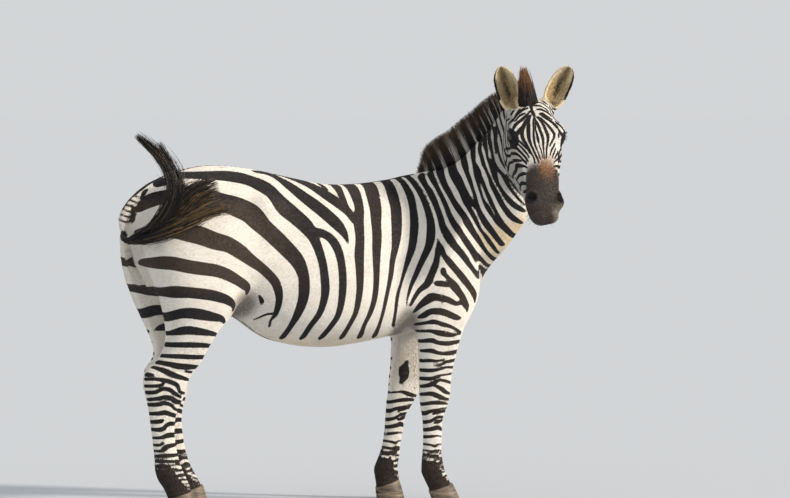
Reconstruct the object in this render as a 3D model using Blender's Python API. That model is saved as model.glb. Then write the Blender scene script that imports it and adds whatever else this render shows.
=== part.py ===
"""A life-size standing plains zebra that looks back over its right shoulder, as a still museum model.

Metres, +Z up, +X the way the body faces, +Y its left side.  The flesh is one implicit surface: each limb,
the barrel, the neck and the head is a stack of oval sections that melt into each other.  It is meshed once,
thinned to few faces, and then parted with thin flat cuts into the head, neck, trunk and four legs.
"""
import math

import bmesh
import bpy
import numpy as np
from mathutils import Matrix, Vector

for old in list(bpy.data.objects):
    bpy.data.objects.remove(old, do_unlink=True)

# ---------------------------------------------------------------- driving sizes
STANCE = 0.13           # half the distance between a pair of hoofs
GRID = 0.009            # spacing of the grid that the flesh is read on
FLESH_TRIANGLES = 4400  # left after thinning
CUT = 0.0004            # width of the cut between two neighbours

POLL = Vector((0.828, -0.377, 1.596))                   # top of the head, between the ears
NOSE_WAY = Vector((-0.068, -0.500, -0.868)).normalized()  # from the poll to the muzzle
HEAD_LEFT = Vector((0.997, -0.069, 0.0))
HEAD_LEFT = (HEAD_LEFT - NOSE_WAY * HEAD_LEFT.dot(NOSE_WAY)).normalized()
BROW_WAY = HEAD_LEFT.cross(NOSE_WAY).normalized() * -1.0  # out of the forehead
HEAD_AXES = np.array([NOSE_WAY, HEAD_LEFT, BROW_WAY])


# ---------------------------------------------------------------- the sections
# barrel: x, top, bottom, half width, height of the widest level, squareness above and below it
BARREL = (
    (-0.724, 1.090, 0.960, 0.030, 1.030, 2.0, 2.0),
    (-0.695, 1.155, 0.900, 0.080, 1.035, 2.0, 2.0),
    (-0.640, 1.225, 0.830, 0.140, 1.040, 2.0, 2.0),
    (-0.560, 1.278, 0.780, 0.190, 1.040, 2.1, 2.0),
    (-0.450, 1.315, 0.785, 0.230, 1.030, 2.1, 2.0),
    (-0.330, 1.322, 0.762, 0.248, 1.010, 2.1, 2.0),
    (-0.250, 1.314, 0.716, 0.257, 0.980, 2.1, 2.1),
    (-0.160, 1.299, 0.655, 0.265, 0.940, 2.1, 2.1),
    (-0.050, 1.275, 0.622, 0.275, 0.910, 2.1, 2.1),
    (0.100, 1.248, 0.608, 0.275, 0.900, 2.1, 2.1),
    (0.230, 1.248, 0.622, 0.258, 0.905, 2.0, 2.1),
    (0.360, 1.263, 0.645, 0.228, 0.930, 1.9, 2.1),
    (0.470, 1.283, 0.662, 0.200, 0.950, 1.7, 2.1),
    (0.560, 1.275, 0.680, 0.182, 0.940, 1.7, 2.1),
    (0.640, 1.190, 0.710, 0.160, 0.920, 1.8, 2.1),
    (0.700, 1.060, 0.755, 0.120, 0.890, 2.0, 2.0),
    (0.728, 0.960, 0.810, 0.060, 0.870, 2.0, 2.0),
)
# hind leg of the right side: height, back edge, front edge, middle y, half thickness
HIND_LEG = (
    (1.245, -0.560, -0.340, -0.085, 0.066),
    (1.180, -0.592, -0.306, -0.112, 0.092),
    (1.080, -0.674, -0.270, -0.140, 0.112),
    (0.980, -0.674, -0.262, -0.150, 0.118),
    (0.900, -0.656, -0.280, -0.156, 0.114),
    (0.806, -0.630, -0.318, -0.156, 0.102),
    (0.740, -0.614, -0.362, -0.152, 0.088),
    (0.674, -0.606, -0.402, -0.147, 0.074),
    (0.610, -0.620, -0.440, -0.142, 0.060),
    (0.565, -0.652, -0.463, -0.139, 0.051),
    (0.530, -0.688, -0.492, -0.136, 0.047),
    (0.490, -0.694, -0.513, -0.134, 0.046),
    (0.440, -0.683, -0.528, -0.132, 0.042),
    (0.390, -0.671, -0.552, -0.131, 0.035),
    (0.330, -0.662, -0.566, -0.130, 0.031),
    (0.260, -0.653, -0.562, -0.130, 0.030),
    (0.200, -0.646, -0.550, -0.130, 0.032),
    (0.150, -0.642, -0.532, -0.130, 0.037),
    (0.120, -0.632, -0.518, -0.130, 0.038),
    (0.090, -0.612, -0.503, -0.130, 0.035),
    (0.060, -0.596, -0.492, -0.130, 0.036),
    (0.020, -0.585, -0.480, -0.130, 0.038),
)
# fore leg of the right side, the same way
FORE_LEG = (
    (1.190, 0.480, 0.560, -0.068, 0.040),
    (1.110, 0.460, 0.600, -0.094, 0.064),
    (1.020, 0.442, 0.640, -0.116, 0.080),
    (0.900, 0.425, 0.690, -0.132, 0.088),
    (0.800, 0.418, 0.690, -0.138, 0.086),
    (0.740, 0.420, 0.662, -0.140, 0.080),
    (0.690, 0.424, 0.634, -0.141, 0.072),
    (0.620, 0.440, 0.610, -0.140, 0.060),
    (0.550, 0.443, 0.592, -0.138, 0.052),
    (0.480, 0.445, 0.578, -0.136, 0.046),
    (0.420, 0.449, 0.573, -0.134, 0.045),
    (0.375, 0.455, 0.563, -0.132, 0.043),
    (0.335, 0.462, 0.548, -0.131, 0.034),
    (0.270, 0.466, 0.543, -0.130, 0.029),
    (0.200, 0.464, 0.541, -0.130, 0.029),
    (0.150, 0.460, 0.548, -0.130, 0.035),
    (0.120, 0.460, 0.556, -0.130, 0.036),
    (0.090, 0.472, 0.572, -0.130, 0.033),
    (0.060, 0.488, 0.582, -0.130, 0.035),
    (0.020, 0.500, 0.592, -0.130, 0.038),
)
# How far the left leg's foot is set from the right one's, by height: the left pair stand under the body.
LEFT_HIND_SHIFT = (
    (0.0, 0.138), (0.15, 0.126), (0.33, 0.122), (0.45, 0.107), (0.586, 0.078), (0.644, 0.045),
    (0.70, 0.020), (0.76, 0.004), (1.18, 0.0),
)
LEFT_FORE_SHIFT = (
    (0.0, -0.138), (0.06, -0.116), (0.116, -0.097), (0.172, -0.076), (0.231, -0.064), (0.337, -0.048),
    (0.377, -0.037), (0.41, -0.026), (0.468, -0.016), (0.53, -0.008), (0.62, 0.0), (1.02, 0.0),
)
# neck: the crest's line, the throat's line, and the half thickness by how far along the neck
NECK_WAY = Vector((0.748, -0.562, 0.354)).normalized()
CREST = (
    (0.440, 0.000, 1.215), (0.545, 0.000, 1.285), (0.605, -0.020, 1.312), (0.655, -0.050, 1.345),
    (0.690, -0.095, 1.395), (0.722, -0.155, 1.452), (0.742, -0.210, 1.510), (0.765, -0.270, 1.556),
    (0.800, -0.320, 1.572),
)
THROAT = (
    (0.640, 0.000, 0.750), (0.745, -0.008, 0.845), (0.795, -0.040, 0.925), (0.835, -0.080, 0.985),
    (0.866, -0.120, 1.045), (0.896, -0.155, 1.115), (0.896, -0.172, 1.190), (0.880, -0.185, 1.270),
    (0.870, -0.215, 1.340), (0.872, -0.280, 1.385), (0.876, -0.330, 1.410),
)
NECK_THICKNESS = (
    (0.74, 0.160), (0.86, 0.150), (0.94, 0.130), (1.02, 0.114), (1.10, 0.100), (1.18, 0.090), (1.25, 0.082), (1.33, 0.078),
)
# tail's dock: centre line and thickness
DOCK = (
    ((-0.550, 0.000, 1.245), 0.030),
    ((-0.615, 0.000, 1.230), 0.026),
    ((-0.670, -0.004, 1.194), 0.025),
    ((-0.713, -0.010, 1.147), 0.024),
    ((-0.736, -0.022, 1.100), 0.022),
    ((-0.738, -0.045, 1.064), 0.018),
)
# head, along the nose: distance from the poll, forehead side, jaw side, half width, widest level, squareness
HEAD = (
    (-0.020, -0.066, -0.150, 0.046, -0.095, 2.0, 2.0),
    (0.000, -0.038, -0.195, 0.068, -0.085, 2.1, 1.9),
    (0.030, -0.012, -0.228, 0.081, -0.080, 2.2, 1.9),
    (0.070, 0.006, -0.250, 0.089, -0.080, 2.3, 1.9),
    (0.110, 0.013, -0.262, 0.095, -0.080, 2.3, 1.9),
    (0.150, 0.014, -0.267, 0.098, -0.080, 2.3, 1.9),
    (0.190, 0.010, -0.267, 0.098, -0.080, 2.3, 1.9),
    (0.240, 0.003, -0.260, 0.094, -0.080, 2.2, 1.9),
    (0.290, -0.006, -0.240, 0.088, -0.080, 2.2, 1.9),
    (0.340, -0.014, -0.211, 0.079, -0.080, 2.1, 2.0),
    (0.380, -0.020, -0.184, 0.071, -0.080, 2.1, 2.0),
    (0.420, -0.026, -0.164, 0.067, -0.084, 2.1, 2.1),
    (0.455, -0.034, -0.153, 0.065, -0.088, 2.1, 2.1),
    (0.485, -0.047, -0.146, 0.057, -0.092, 2.1, 2.1),
    (0.508, -0.068, -0.130, 0.038, -0.096, 2.0, 2.0),
    (0.520, -0.090, -0.108, 0.012, -0.098, 2.0, 2.0),
)

EYE_RADIUS = 0.021
# ear, from base to tip: half width, depth of the cup, thickness of its wall
EAR = (
    (0.00, 0.50, 0.70, 0.010),
    (0.12, 0.78, 0.95, 0.009),
    (0.30, 0.96, 1.00, 0.008),
    (0.50, 1.00, 0.88, 0.007),
    (0.68, 0.93, 0.68, 0.006),
    (0.82, 0.78, 0.46, 0.005),
    (0.93, 0.52, 0.28, 0.004),
    (1.00, 0.18, 0.12, 0.003),
)
# mane, from withers to poll: foot, height, lean, half thickness
MANE = (
    (0.00, 0.500, 0.000, 1.272, 0.010, -0.36, 0.00, 0.93, 0.010),
    (0.06, 0.530, 0.000, 1.279, 0.048, -0.38, 0.00, 0.92, 0.013),
    (0.14, 0.562, -0.005, 1.288, 0.088, -0.40, 0.02, 0.91, 0.015),
    (0.28, 0.610, -0.022, 1.313, 0.110, -0.44, 0.05, 0.90, 0.016),
    (0.43, 0.657, -0.052, 1.345, 0.112, -0.44, 0.06, 0.90, 0.016),
    (0.58, 0.692, -0.097, 1.395, 0.106, -0.44, 0.07, 0.89, 0.016),
    (0.70, 0.722, -0.152, 1.450, 0.094, -0.43, 0.05, 0.90, 0.016),
    (0.82, 0.745, -0.212, 1.508, 0.078, -0.38, 0.03, 0.92, 0.016),
    (0.92, 0.785, -0.262, 1.556, 0.074, -0.20, 0.06, 0.96, 0.014),
    (1.00, 0.821, -0.306, 1.578, 0.080, -0.02, 0.10, 0.99, 0.012),
)
# forelock: middle, half width, half depth
FORELOCK = (
    (0.808, -0.372, 1.555, 0.031, 0.020),
    (0.802, -0.374, 1.590, 0.033, 0.021),
    (0.796, -0.376, 1.620, 0.031, 0.019),
    (0.790, -0.378, 1.650, 0.024, 0.014),
    (0.785, -0.379, 1.678, 0.014, 0.009),
    (0.782, -0.380, 1.700, 0.004, 0.003),
)
# locks of the tail's hair: centre line and thickness
LOCKS = (
    (  # up over the croup
        ((-0.738, -0.046, 1.066), 0.020), ((-0.754, -0.076, 1.037), 0.020), ((-0.740, -0.158, 1.040), 0.026),
        ((-0.686, -0.252, 1.085), 0.033), ((-0.645, -0.292, 1.160), 0.034), ((-0.634, -0.308, 1.235), 0.030),
        ((-0.654, -0.302, 1.300), 0.022), ((-0.704, -0.290, 1.370), 0.014), ((-0.772, -0.276, 1.438), 0.008),
    ),
    (  # a second tip beside it
        ((-0.622, -0.305, 1.230), 0.024), ((-0.630, -0.306, 1.300), 0.018), ((-0.655, -0.300, 1.355), 0.013),
        ((-0.690, -0.292, 1.410), 0.008),
    ),
    (  # low across the haunch
        ((-0.740, -0.158, 1.040), 0.022), ((-0.694, -0.236, 1.056), 0.026), ((-0.618, -0.296, 1.088), 0.027),
        ((-0.535, -0.312, 1.125), 0.021), ((-0.470, -0.322, 1.150), 0.014), ((-0.415, -0.324, 1.160), 0.008),
    ),
    (  # middle of the fan
        ((-0.655, -0.258, 1.110), 0.028), ((-0.585, -0.308, 1.160), 0.025), ((-0.520, -0.322, 1.195), 0.017),
        ((-0.455, -0.326, 1.215), 0.008),
    ),
    (  # top of the fan
        ((-0.640, -0.280, 1.150), 0.026), ((-0.590, -0.310, 1.205), 0.022), ((-0.530, -0.322, 1.240), 0.013),
        ((-0.470, -0.326, 1.262), 0.008),
    ),
)
# hoof: name, leg, heel and toe on the floor, y, coronet at the back and at the front (x, z)
HOOFS = (
    ("hoof_hind_right", "hindleg_right", -0.582, -0.470, -STANCE, (-0.594, 0.046), (-0.492, 0.078)),
    ("hoof_hind_left", "hindleg_left", -0.446, -0.334, STANCE, (-0.460, 0.046), (-0.358, 0.078)),
    ("hoof_front_right", "foreleg_right", 0.508, 0.622, -STANCE, (0.490, 0.044), (0.586, 0.076)),
    ("hoof_front_left", "foreleg_left", 0.376, 0.490, STANCE, (0.370, 0.044), (0.466, 0.076)),
)


# ---------------------------------------------------------------- the implicit surface
def along(t, table):
    """The table's other columns at t, on one smooth curve through its rows."""
    table = np.array(table, float)
    keys, values = table[:, 0], table[:, 1:]
    if keys[0] > keys[-1]:
        keys, values = keys[::-1], values[::-1]
    slopes = np.gradient(values, keys, axis=0)
    t = np.clip(t, keys[0], keys[-1])
    i = np.clip(np.searchsorted(keys, t, side="right") - 1, 0, len(keys) - 2)
    step = keys[i + 1] - keys[i]
    s = ((t - keys[i]) / step)[:, None]
    step = step[:, None]
    return (
        values[i] * (1 + 2 * s) * (1 - s) ** 2
        + slopes[i] * step * s * (1 - s) ** 2
        + values[i + 1] * s**2 * (3 - 2 * s)
        + slopes[i + 1] * step * s**2 * (s - 1)
    )


def oval(u, v, half_u, half_v, squareness=2.0):
    """Rough distance to an oval of these half sizes, negative inside."""
    half_u, half_v = np.maximum(half_u, 1e-4), np.maximum(half_v, 1e-4)
    u, v = np.abs(u), np.abs(v)
    n = squareness
    ring = np.maximum((u / half_u) ** n + (v / half_v) ** n, 1e-9) ** (1 / n)
    steep = ring ** (1 - n) * np.hypot(u ** (n - 1) / half_u**n, v ** (n - 1) / half_v**n)
    inside = -np.minimum(half_u, half_v)
    return np.maximum((ring - 1) / np.maximum(steep, 1e-6), inside)


def past_ends(d, t, first, last):
    """A section's distance d, grown by how far the point lies past the stack's ends."""
    over = np.maximum(np.maximum(first - t, t - last), 0)
    return np.where(over > 0, np.hypot(np.maximum(d, 0), over), d)


def melt(a, b, reach):
    """The nearer of two surfaces, with a fillet of this reach between them."""
    share = np.maximum(reach - np.abs(a - b), 0) / reach
    return np.minimum(a, b) - share * share * reach / 4


def egg_stack(t, side, rise, table):
    """Sections with their own top, bottom, widest level and squareness above and below it."""
    top, bottom, half, level, upper, lower = along(t, table).T
    v = rise - level
    height = np.where(v > 0, top - level, level - bottom)
    d = oval(side, v, half, height, np.where(v > 0, upper, lower))
    return past_ends(d, t, table[0][0], table[-1][0])


def leg_stack(p, table, shift, side):
    """A leg of flat oval sections.  side is -1 for the right leg and +1 for the left one."""
    z = p[:, 2]
    back, front, middle, half = along(z, table).T
    x = p[:, 0] - along(z, shift)[:, 0] if shift else p[:, 0]
    y = p[:, 1] - middle * -side
    d = oval(x - (back + front) / 2, y, (front - back) / 2, half, 2.2)
    keys = [row[0] for row in table]
    return past_ends(d, z, min(keys), max(keys))


def neck_stack(p):
    """Oval sections across one slanting line, each from the crest down to the throat."""
    t = p @ np.array(NECK_WAY)
    crest = along(t, [(Vector(c).dot(NECK_WAY), *c) for c in CREST])
    throat = along(t, [(Vector(c).dot(NECK_WAY), *c) for c in THROAT])
    half = along(t, NECK_THICKNESS)[:, 0]
    up = (crest - throat) / 2
    height = np.linalg.norm(up, axis=1)
    up /= height[:, None]
    side = np.cross(up, np.array(NECK_WAY))
    off = p - (crest + throat) / 2
    d = oval((off * side).sum(1), (off * up).sum(1), half, height, 2.0)
    return past_ends(d, t, NECK_THICKNESS[0][0], NECK_THICKNESS[-1][0])


def ball(p, centre, radii):
    q = (p - np.array(centre)) / np.array(radii)
    ring = np.maximum(np.linalg.norm(q, axis=1), 1e-6)
    steep = np.linalg.norm(q / np.array(radii), axis=1) / ring
    return (ring - 1) / np.maximum(steep, 1e-6)


def cord(p, line):
    """Distance to a chain of round cones through these centres and radii."""
    line = [(np.array(c), r) for c, r in line]
    best = np.full(len(p), 9.0)
    for (a, ra), (b, rb) in zip(line, line[1:]):
        way = b - a
        t = np.clip((p - a) @ way / (way @ way), 0, 1)
        best = np.minimum(best, np.linalg.norm(p - a - t[:, None] * way, axis=1) - (ra + t * (rb - ra)))
    return best


def rounded(line, pieces=6):
    """The same line with points added on a smooth curve between its own."""
    rows = [[i, *c, r] for i, (c, r) in enumerate(line)]
    fine = along(np.linspace(0, len(line) - 1, pieces * (len(line) - 1) + 1), rows)
    return [(tuple(row[:3]), row[3]) for row in fine]


def head_place(p):
    """Points in the head's own axes: along the nose, to its left, out of the forehead."""
    return (p - np.array(POLL)) @ HEAD_AXES.T


def head_stack(p):
    q = head_place(p)
    side = np.abs(q[:, 1])
    d = egg_stack(q[:, 0], side, q[:, 2], HEAD)
    mirrored = np.stack([q[:, 0], side, q[:, 2]], 1)
    for centre, radii, reach in (
        ((0.155, 0.082, -0.030), (0.050, 0.032, 0.030), 0.030),   # brow and orbit
        ((0.235, 0.076, -0.068), (0.090, 0.018, 0.018), 0.030),   # cheek ridge
        ((0.165, 0.057, -0.165), (0.100, 0.037, 0.085), 0.030),   # cheek muscle
        ((0.438, 0.052, -0.060), (0.038, 0.026, 0.030), 0.020),   # nostril wing
        ((0.470, 0.000, -0.134), (0.036, 0.036, 0.022), 0.020),   # chin
        ((0.020, 0.060, -0.052), (0.032, 0.028, 0.034), 0.030),   # ear root
    ):
        d = melt(d, ball(mirrored, centre, radii), reach)
    return d


def flesh(p):
    """Rough distance to the skin, negative inside."""
    d = egg_stack(p[:, 0], p[:, 1], p[:, 2], BARREL)
    for part, box, reach in (
        (lambda q: leg_stack(q, HIND_LEG, None, -1), ((-0.85, -0.45, -0.1), (-0.1, 0.08, 1.40)), 0.070),
        (lambda q: leg_stack(q, HIND_LEG, LEFT_HIND_SHIFT, 1), ((-0.85, -0.08, -0.1), (-0.05, 0.45, 1.40)), 0.070),
        (lambda q: leg_stack(q, FORE_LEG, None, -1), ((0.25, -0.40, -0.1), (0.85, 0.08, 1.35)), 0.050),
        (lambda q: leg_stack(q, FORE_LEG, LEFT_FORE_SHIFT, 1), ((0.2, -0.08, -0.1), (0.85, 0.40, 1.35)), 0.050),
        (neck_stack, ((0.30, -0.50, 0.60), (1.05, 0.30, 1.80)), 0.060),
        (lambda q: cord(q, rounded(DOCK, 3)), ((-0.85, -0.12, 1.0), (-0.45, 0.08, 1.32)), 0.030),
        (head_stack, ((0.55, -0.85, 0.95), (1.10, -0.10, 1.80)), 0.030),
    ):
        near = ((p > box[0]) & (p < box[1])).all(axis=1)
        if near.any():
            d[near] = melt(d[near], part(p[near]), reach)
    return d


def hair_of_tail(p):
    d = np.full(len(p), 9.0)
    for lock in LOCKS:
        d = melt(d, cord(p, rounded(lock, 4)), 0.030)
    return d


# ---------------------------------------------------------------- from the surface to a mesh
def net_mesh(field, low, high, step):
    """Vertices and quads of the surface field = 0 in a box: one vertex in each grid cell that it crosses."""
    counts = np.ceil((np.array(high) - low) / step).astype(int) + 1
    axes = [low[k] + step * np.arange(counts[k]) for k in range(3)]
    values = np.empty(tuple(counts), np.float32)
    for i, x in enumerate(axes[0]):
        plane = np.stack(np.meshgrid([x], axes[1], axes[2], indexing="ij"), -1).reshape(-1, 3)
        values[i] = field(plane).reshape(counts[1], counts[2])
    inside = values < 0
    for _ in range(4):  # fill the places where two surfaces would share an edge
        for a, b in ((0, 1), (1, 2), (2, 0)):
            turned = np.moveaxis(inside, (a, b), (0, 1))
            p00, p01, p10, p11 = turned[:-1, :-1], turned[:-1, 1:], turned[1:, :-1], turned[1:, 1:]
            crossed = (p00 == p11) & (p01 == p10) & (p00 != p01)
            for part in (p00, p01, p10, p11):
                part |= crossed
    corners = sum(
        inside[a : counts[0] - 1 + a, b : counts[1] - 1 + b, c : counts[2] - 1 + c].astype(np.int8)
        for a in (0, 1) for b in (0, 1) for c in (0, 1)
    )
    cells = np.argwhere((corners > 0) & (corners < 8))
    number = np.full(tuple(counts - 1), -1, np.int32)
    number[tuple(cells.T)] = np.arange(len(cells))
    points = np.array(low) + step * (cells + 0.5)
    for _ in range(4):
        d = field(points)
        slope = np.stack([field(points + step * 0.2 * e) - field(points - step * 0.2 * e) for e in np.eye(3)], 1)
        slope /= step * 0.4
        move = slope * (d / np.maximum((slope**2).sum(1), 0.05))[:, None]
        points = points - np.clip(move, -0.6 * step, 0.6 * step)
    centre = np.array(low) + step * (cells + 0.5)
    points = np.clip(points, centre - 0.62 * step, centre + 0.62 * step)
    quads = []
    for k in range(3):
        first = [slice(None)] * 3
        second = [slice(None)] * 3
        first[k], second[k] = slice(0, -1), slice(1, None)
        a, b = inside[tuple(first)], inside[tuple(second)]
        at = np.argwhere(a != b)
        at = at[(at[:, (k + 1) % 3] > 0) & (at[:, (k + 2) % 3] > 0)]
        u, v = np.eye(3, dtype=int)[(k + 1) % 3], np.eye(3, dtype=int)[(k + 2) % 3]
        ring = [number[tuple((at - m).T)] for m in (u * 0, u, u + v, v)]
        face = np.stack(ring, 1)
        flip = b[tuple(at.T)]
        face[flip] = face[flip][:, ::-1]
        quads.append(face)
    return points, np.concatenate(quads)


def mesh_object(name, points, faces):
    mesh = bpy.data.meshes.new(name)
    mesh.from_pydata([tuple(map(float, p)) for p in points], [], [tuple(map(int, f)) for f in faces])
    mesh.validate()
    obj = bpy.data.objects.new(name, mesh)
    bpy.context.scene.collection.objects.link(obj)
    return obj


def settle(obj):
    """Bake the object's modifiers into its mesh."""
    bpy.context.view_layer.update()
    ready = obj.evaluated_get(bpy.context.evaluated_depsgraph_get())
    mesh = bpy.data.meshes.new_from_object(ready)
    obj.modifiers.clear()
    obj.data = mesh
    return obj


def copied(obj, name):
    twin = bpy.data.objects.new(name, obj.data.copy())
    bpy.context.scene.collection.objects.link(twin)
    return twin


def combine(obj, tool, operation):
    cut = obj.modifiers.new("combine", "BOOLEAN")
    cut.operation, cut.solver, cut.object = operation, "EXACT", tool
    settle(obj)
    bm = bmesh.new()
    bm.from_mesh(obj.data)
    bmesh.ops.remove_doubles(bm, verts=bm.verts, dist=2e-5)
    bmesh.ops.dissolve_degenerate(bm, dist=2e-5, edges=bm.edges)
    bm.to_mesh(obj.data)
    bm.free()
    return obj


def thinned(obj, triangles, keep=None):
    """Collapse edges until about this many triangles are left; keep gives each vertex's weight, more to keep more."""
    have = sum(len(f.vertices) - 2 for f in obj.data.polygons)
    obj.vertex_groups.clear()
    mod = obj.modifiers.new("thin", "DECIMATE")
    mod.ratio = triangles / have
    if keep is not None:
        group = obj.vertex_groups.new(name="keep")
        for i, weight in enumerate(keep):
            group.add([i], float(weight), "REPLACE")
        mod.vertex_group, mod.invert_vertex_group, mod.vertex_group_factor = "keep", True, 1.0
    return settle(obj)


def seated(obj, seat, way):
    """Cut away what of the object lies in its seat, and lift the rest off by a thin gap."""
    combine(obj, seat, "DIFFERENCE")
    obj.data.transform(Matrix.Translation(Vector(way).normalized() * CUT))
    return obj


def loft(name, rings, flat_ends=(False, False)):
    """A closed solid through rings of points; an end is a flat face or a fan about its middle."""
    n = len(rings[0])
    points = [Vector(p) for ring in rings for p in ring]
    faces = []
    for r in range(len(rings) - 1):
        for i in range(n):
            j = (i + 1) % n
            faces.append((r * n + i, r * n + j, (r + 1) * n + j, (r + 1) * n + i))
    for end, flat in enumerate(flat_ends):
        first = (len(rings) - 1) * n if end else 0
        ring = list(range(first, first + n))
        if not end:
            ring.reverse()
        if flat:
            faces.append(tuple(ring))
        else:
            middle = sum((points[i] for i in ring), Vector()) / n
            points.append(middle)
            faces += [(ring[i], ring[(i + 1) % n], len(points) - 1) for i in range(n)]
    obj = mesh_object(name, points, faces)
    bm = bmesh.new()
    bm.from_mesh(obj.data)
    bmesh.ops.recalc_face_normals(bm, faces=bm.faces)
    bm.to_mesh(obj.data)
    bm.free()
    return obj


def block(name, centre, size, x_way=(1, 0, 0), z_way=(0, 0, 1)):
    """A box with its own axes, for cutting with."""
    z = Vector(z_way).normalized()
    x = Vector(x_way)
    x = (x - z * x.dot(z)).normalized()
    y = z.cross(x)
    corners = [
        Vector(centre) + x * (a * size[0] / 2) + y * (b * size[1] / 2) + z * (c * size[2] / 2)
        for c in (-1, 1) for b in (-1, 1) for a in (-1, 1)
    ]
    faces = [(0, 2, 3, 1), (4, 5, 7, 6), (0, 1, 5, 4), (2, 6, 7, 3), (0, 4, 6, 2), (1, 3, 7, 5)]
    return mesh_object(name, corners, faces)


def drop(*objects):
    for obj in objects:
        bpy.data.objects.remove(obj, do_unlink=True)


def zone(name, planes, spare=0.0):
    """All that lies behind every one of these planes (point, way out), each moved out by `spare`."""
    solid = block(name, (0, 0, 0.8), (4, 4, 4))
    bm = bmesh.new()
    bm.from_mesh(solid.data)
    for point, way in planes:
        way = Vector(way).normalized()
        cut = bmesh.ops.bisect_plane(
            bm, geom=bm.verts[:] + bm.edges[:] + bm.faces[:], plane_co=Vector(point) + way * spare,
            plane_no=way, clear_outer=True,
        )
        rim = [e for e in cut["geom_cut"] if isinstance(e, bmesh.types.BMEdge)]
        bmesh.ops.contextual_create(bm, geom=rim)
    bmesh.ops.recalc_face_normals(bm, faces=bm.faces)
    bm.to_mesh(solid.data)
    bm.free()
    return solid


def part_off(body, name, planes):
    """Cut the zone behind these planes off the body as a piece of its own, with a thin gap left between them."""
    piece = copied(body, name)
    tool = zone("zone", planes)
    combine(piece, tool, "INTERSECT")
    drop(tool)
    tool = zone("zone", planes, CUT)
    combine(body, tool, "DIFFERENCE")
    drop(tool)
    return piece


def on_head(along_nose, left, out):
    """A place given in the head's own axes."""
    return POLL + NOSE_WAY * along_nose + HEAD_LEFT * left + BROW_WAY * out


def ear(name, base, tip, opening, half_width, depth):
    """A cupped leaf, closed all round: each ring runs along its back and returns along the cup's inside."""
    base, tip = Vector(base), Vector(tip)
    up = (tip - base).normalized()
    front = Vector(opening)
    front = (front - up * front.dot(up)).normalized()
    side = up.cross(front)
    rings = []
    for i in range(10):
        t = i / 9
        width, hollow, wall = along(np.array([t]), EAR)[0] * (half_width, depth, 1)
        centre = base.lerp(tip, t) - front * depth * 0.55 * math.sin(math.pi * t)
        ring = []
        for k in range(7):
            turn = math.pi * (k / 6 - 0.5)
            ring.append(centre + side * width * math.sin(turn) - front * hollow * math.cos(turn))
        for k in range(6, -1, -1):
            turn = math.pi * (k / 6 - 0.5)
            inner_width, inner_hollow = max(width - wall * 0.9, width * 0.5), max(hollow - wall, hollow * 0.2)
            ring.append(centre + side * inner_width * math.sin(turn) - front * (inner_hollow * math.cos(turn) - wall * 0.35))
        rings.append(ring)
    return loft(name, rings, (True, True))


def hoof(name, heel, toe, y, coronet_back, coronet_front):
    """A hoof between a flat sole on the floor and the slanting plane of its coronet."""
    rings = []
    for k in range(4):
        t = (0.0, 0.06, 0.55, 1.0)[k]
        back = heel + (coronet_back[0] - heel) * t
        front = toe + (coronet_front[0] - toe) * t
        half = 0.046 - 0.008 * t - (0.002 if k == 0 else 0)
        ring = []
        for i in range(16):
            turn = 2 * math.pi * i / 16
            c, sn = math.cos(turn), math.sin(turn)
            x = (back + front) / 2 + (front - back) / 2 * c - (0.002 * c if k == 0 else 0)
            flat_back = 1.0 if c > 0 else 1.0 + 0.10 * c * c
            top = coronet_back[1] + (coronet_front[1] - coronet_back[1]) * (x - coronet_back[0]) / (coronet_front[0] - coronet_back[0])
            ring.append((x, y + half * sn * flat_back, top * t))
        rings.append(ring)
    return loft(name, rings, (True, True))


def sphere(name, centre, radius):
    bm = bmesh.new()
    bmesh.ops.create_uvsphere(bm, u_segments=14, v_segments=8, radius=radius, matrix=Matrix.Translation(centre))
    mesh = bpy.data.meshes.new(name)
    bm.to_mesh(mesh)
    bm.free()
    obj = bpy.data.objects.new(name, mesh)
    bpy.context.scene.collection.objects.link(obj)
    return obj


def crest_fin(name):
    """The upright mane: a thin fin along the crest with a tufted edge, its foot sunk into the neck."""
    count = 34
    rings = []
    for i in range(count):
        t = i / (count - 1)
        x, y, z, height, lean_x, lean_y, lean_z, half = along(np.array([t]), MANE)[0]
        foot = Vector((x, y, z))
        up = Vector((lean_x, lean_y, lean_z)).normalized()
        x, y, z = along(np.array([min(t + 0.01, 1)]), MANE)[0][:3] - along(np.array([max(t - 0.01, 0)]), MANE)[0][:3]
        side = up.cross(Vector((x, y, z))).normalized()
        tall = height * (1.0 if i % 2 else 0.9)
        ring = []
        for rise, share in ((-0.03, 1.0), (0.5 * tall, 0.85), (tall, 0.25)):
            ring.append(foot + up * rise + side * half * share)
        ring += [p - side * 2 * (p - foot).dot(side) for p in reversed(ring)]
        rings.append(ring)
    return loft(name, rings)


# ---------------------------------------------------------------- the whole animal
# The flesh in one piece, thinned with the head kept finer.
points, quads = net_mesh(flesh, (-0.80, -0.72, 0.0), (1.02, 0.36, 1.66), GRID)
body = mesh_object("trunk", points, quads)
thinned(body, 3 * FLESH_TRIANGLES)
in_head = head_place(np.array([v.co for v in body.data.vertices]))
kept = (in_head[:, 0] > -0.02) & (in_head[:, 2] > -0.27) & (np.abs(in_head[:, 1]) < 0.13)
thinned(body, FLESH_TRIANGLES, kept.astype(float))

# Eyes, each in a socket of its own shape.
for side, sign in (("left", 1), ("right", -1)):
    centre = on_head(0.166, 0.097 * sign, -0.046)
    sphere("eye_" + side, centre, EYE_RADIUS)
    socket = sphere("socket", centre, EYE_RADIUS + CUT)
    combine(body, socket, "DIFFERENCE")
    drop(socket)

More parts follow.
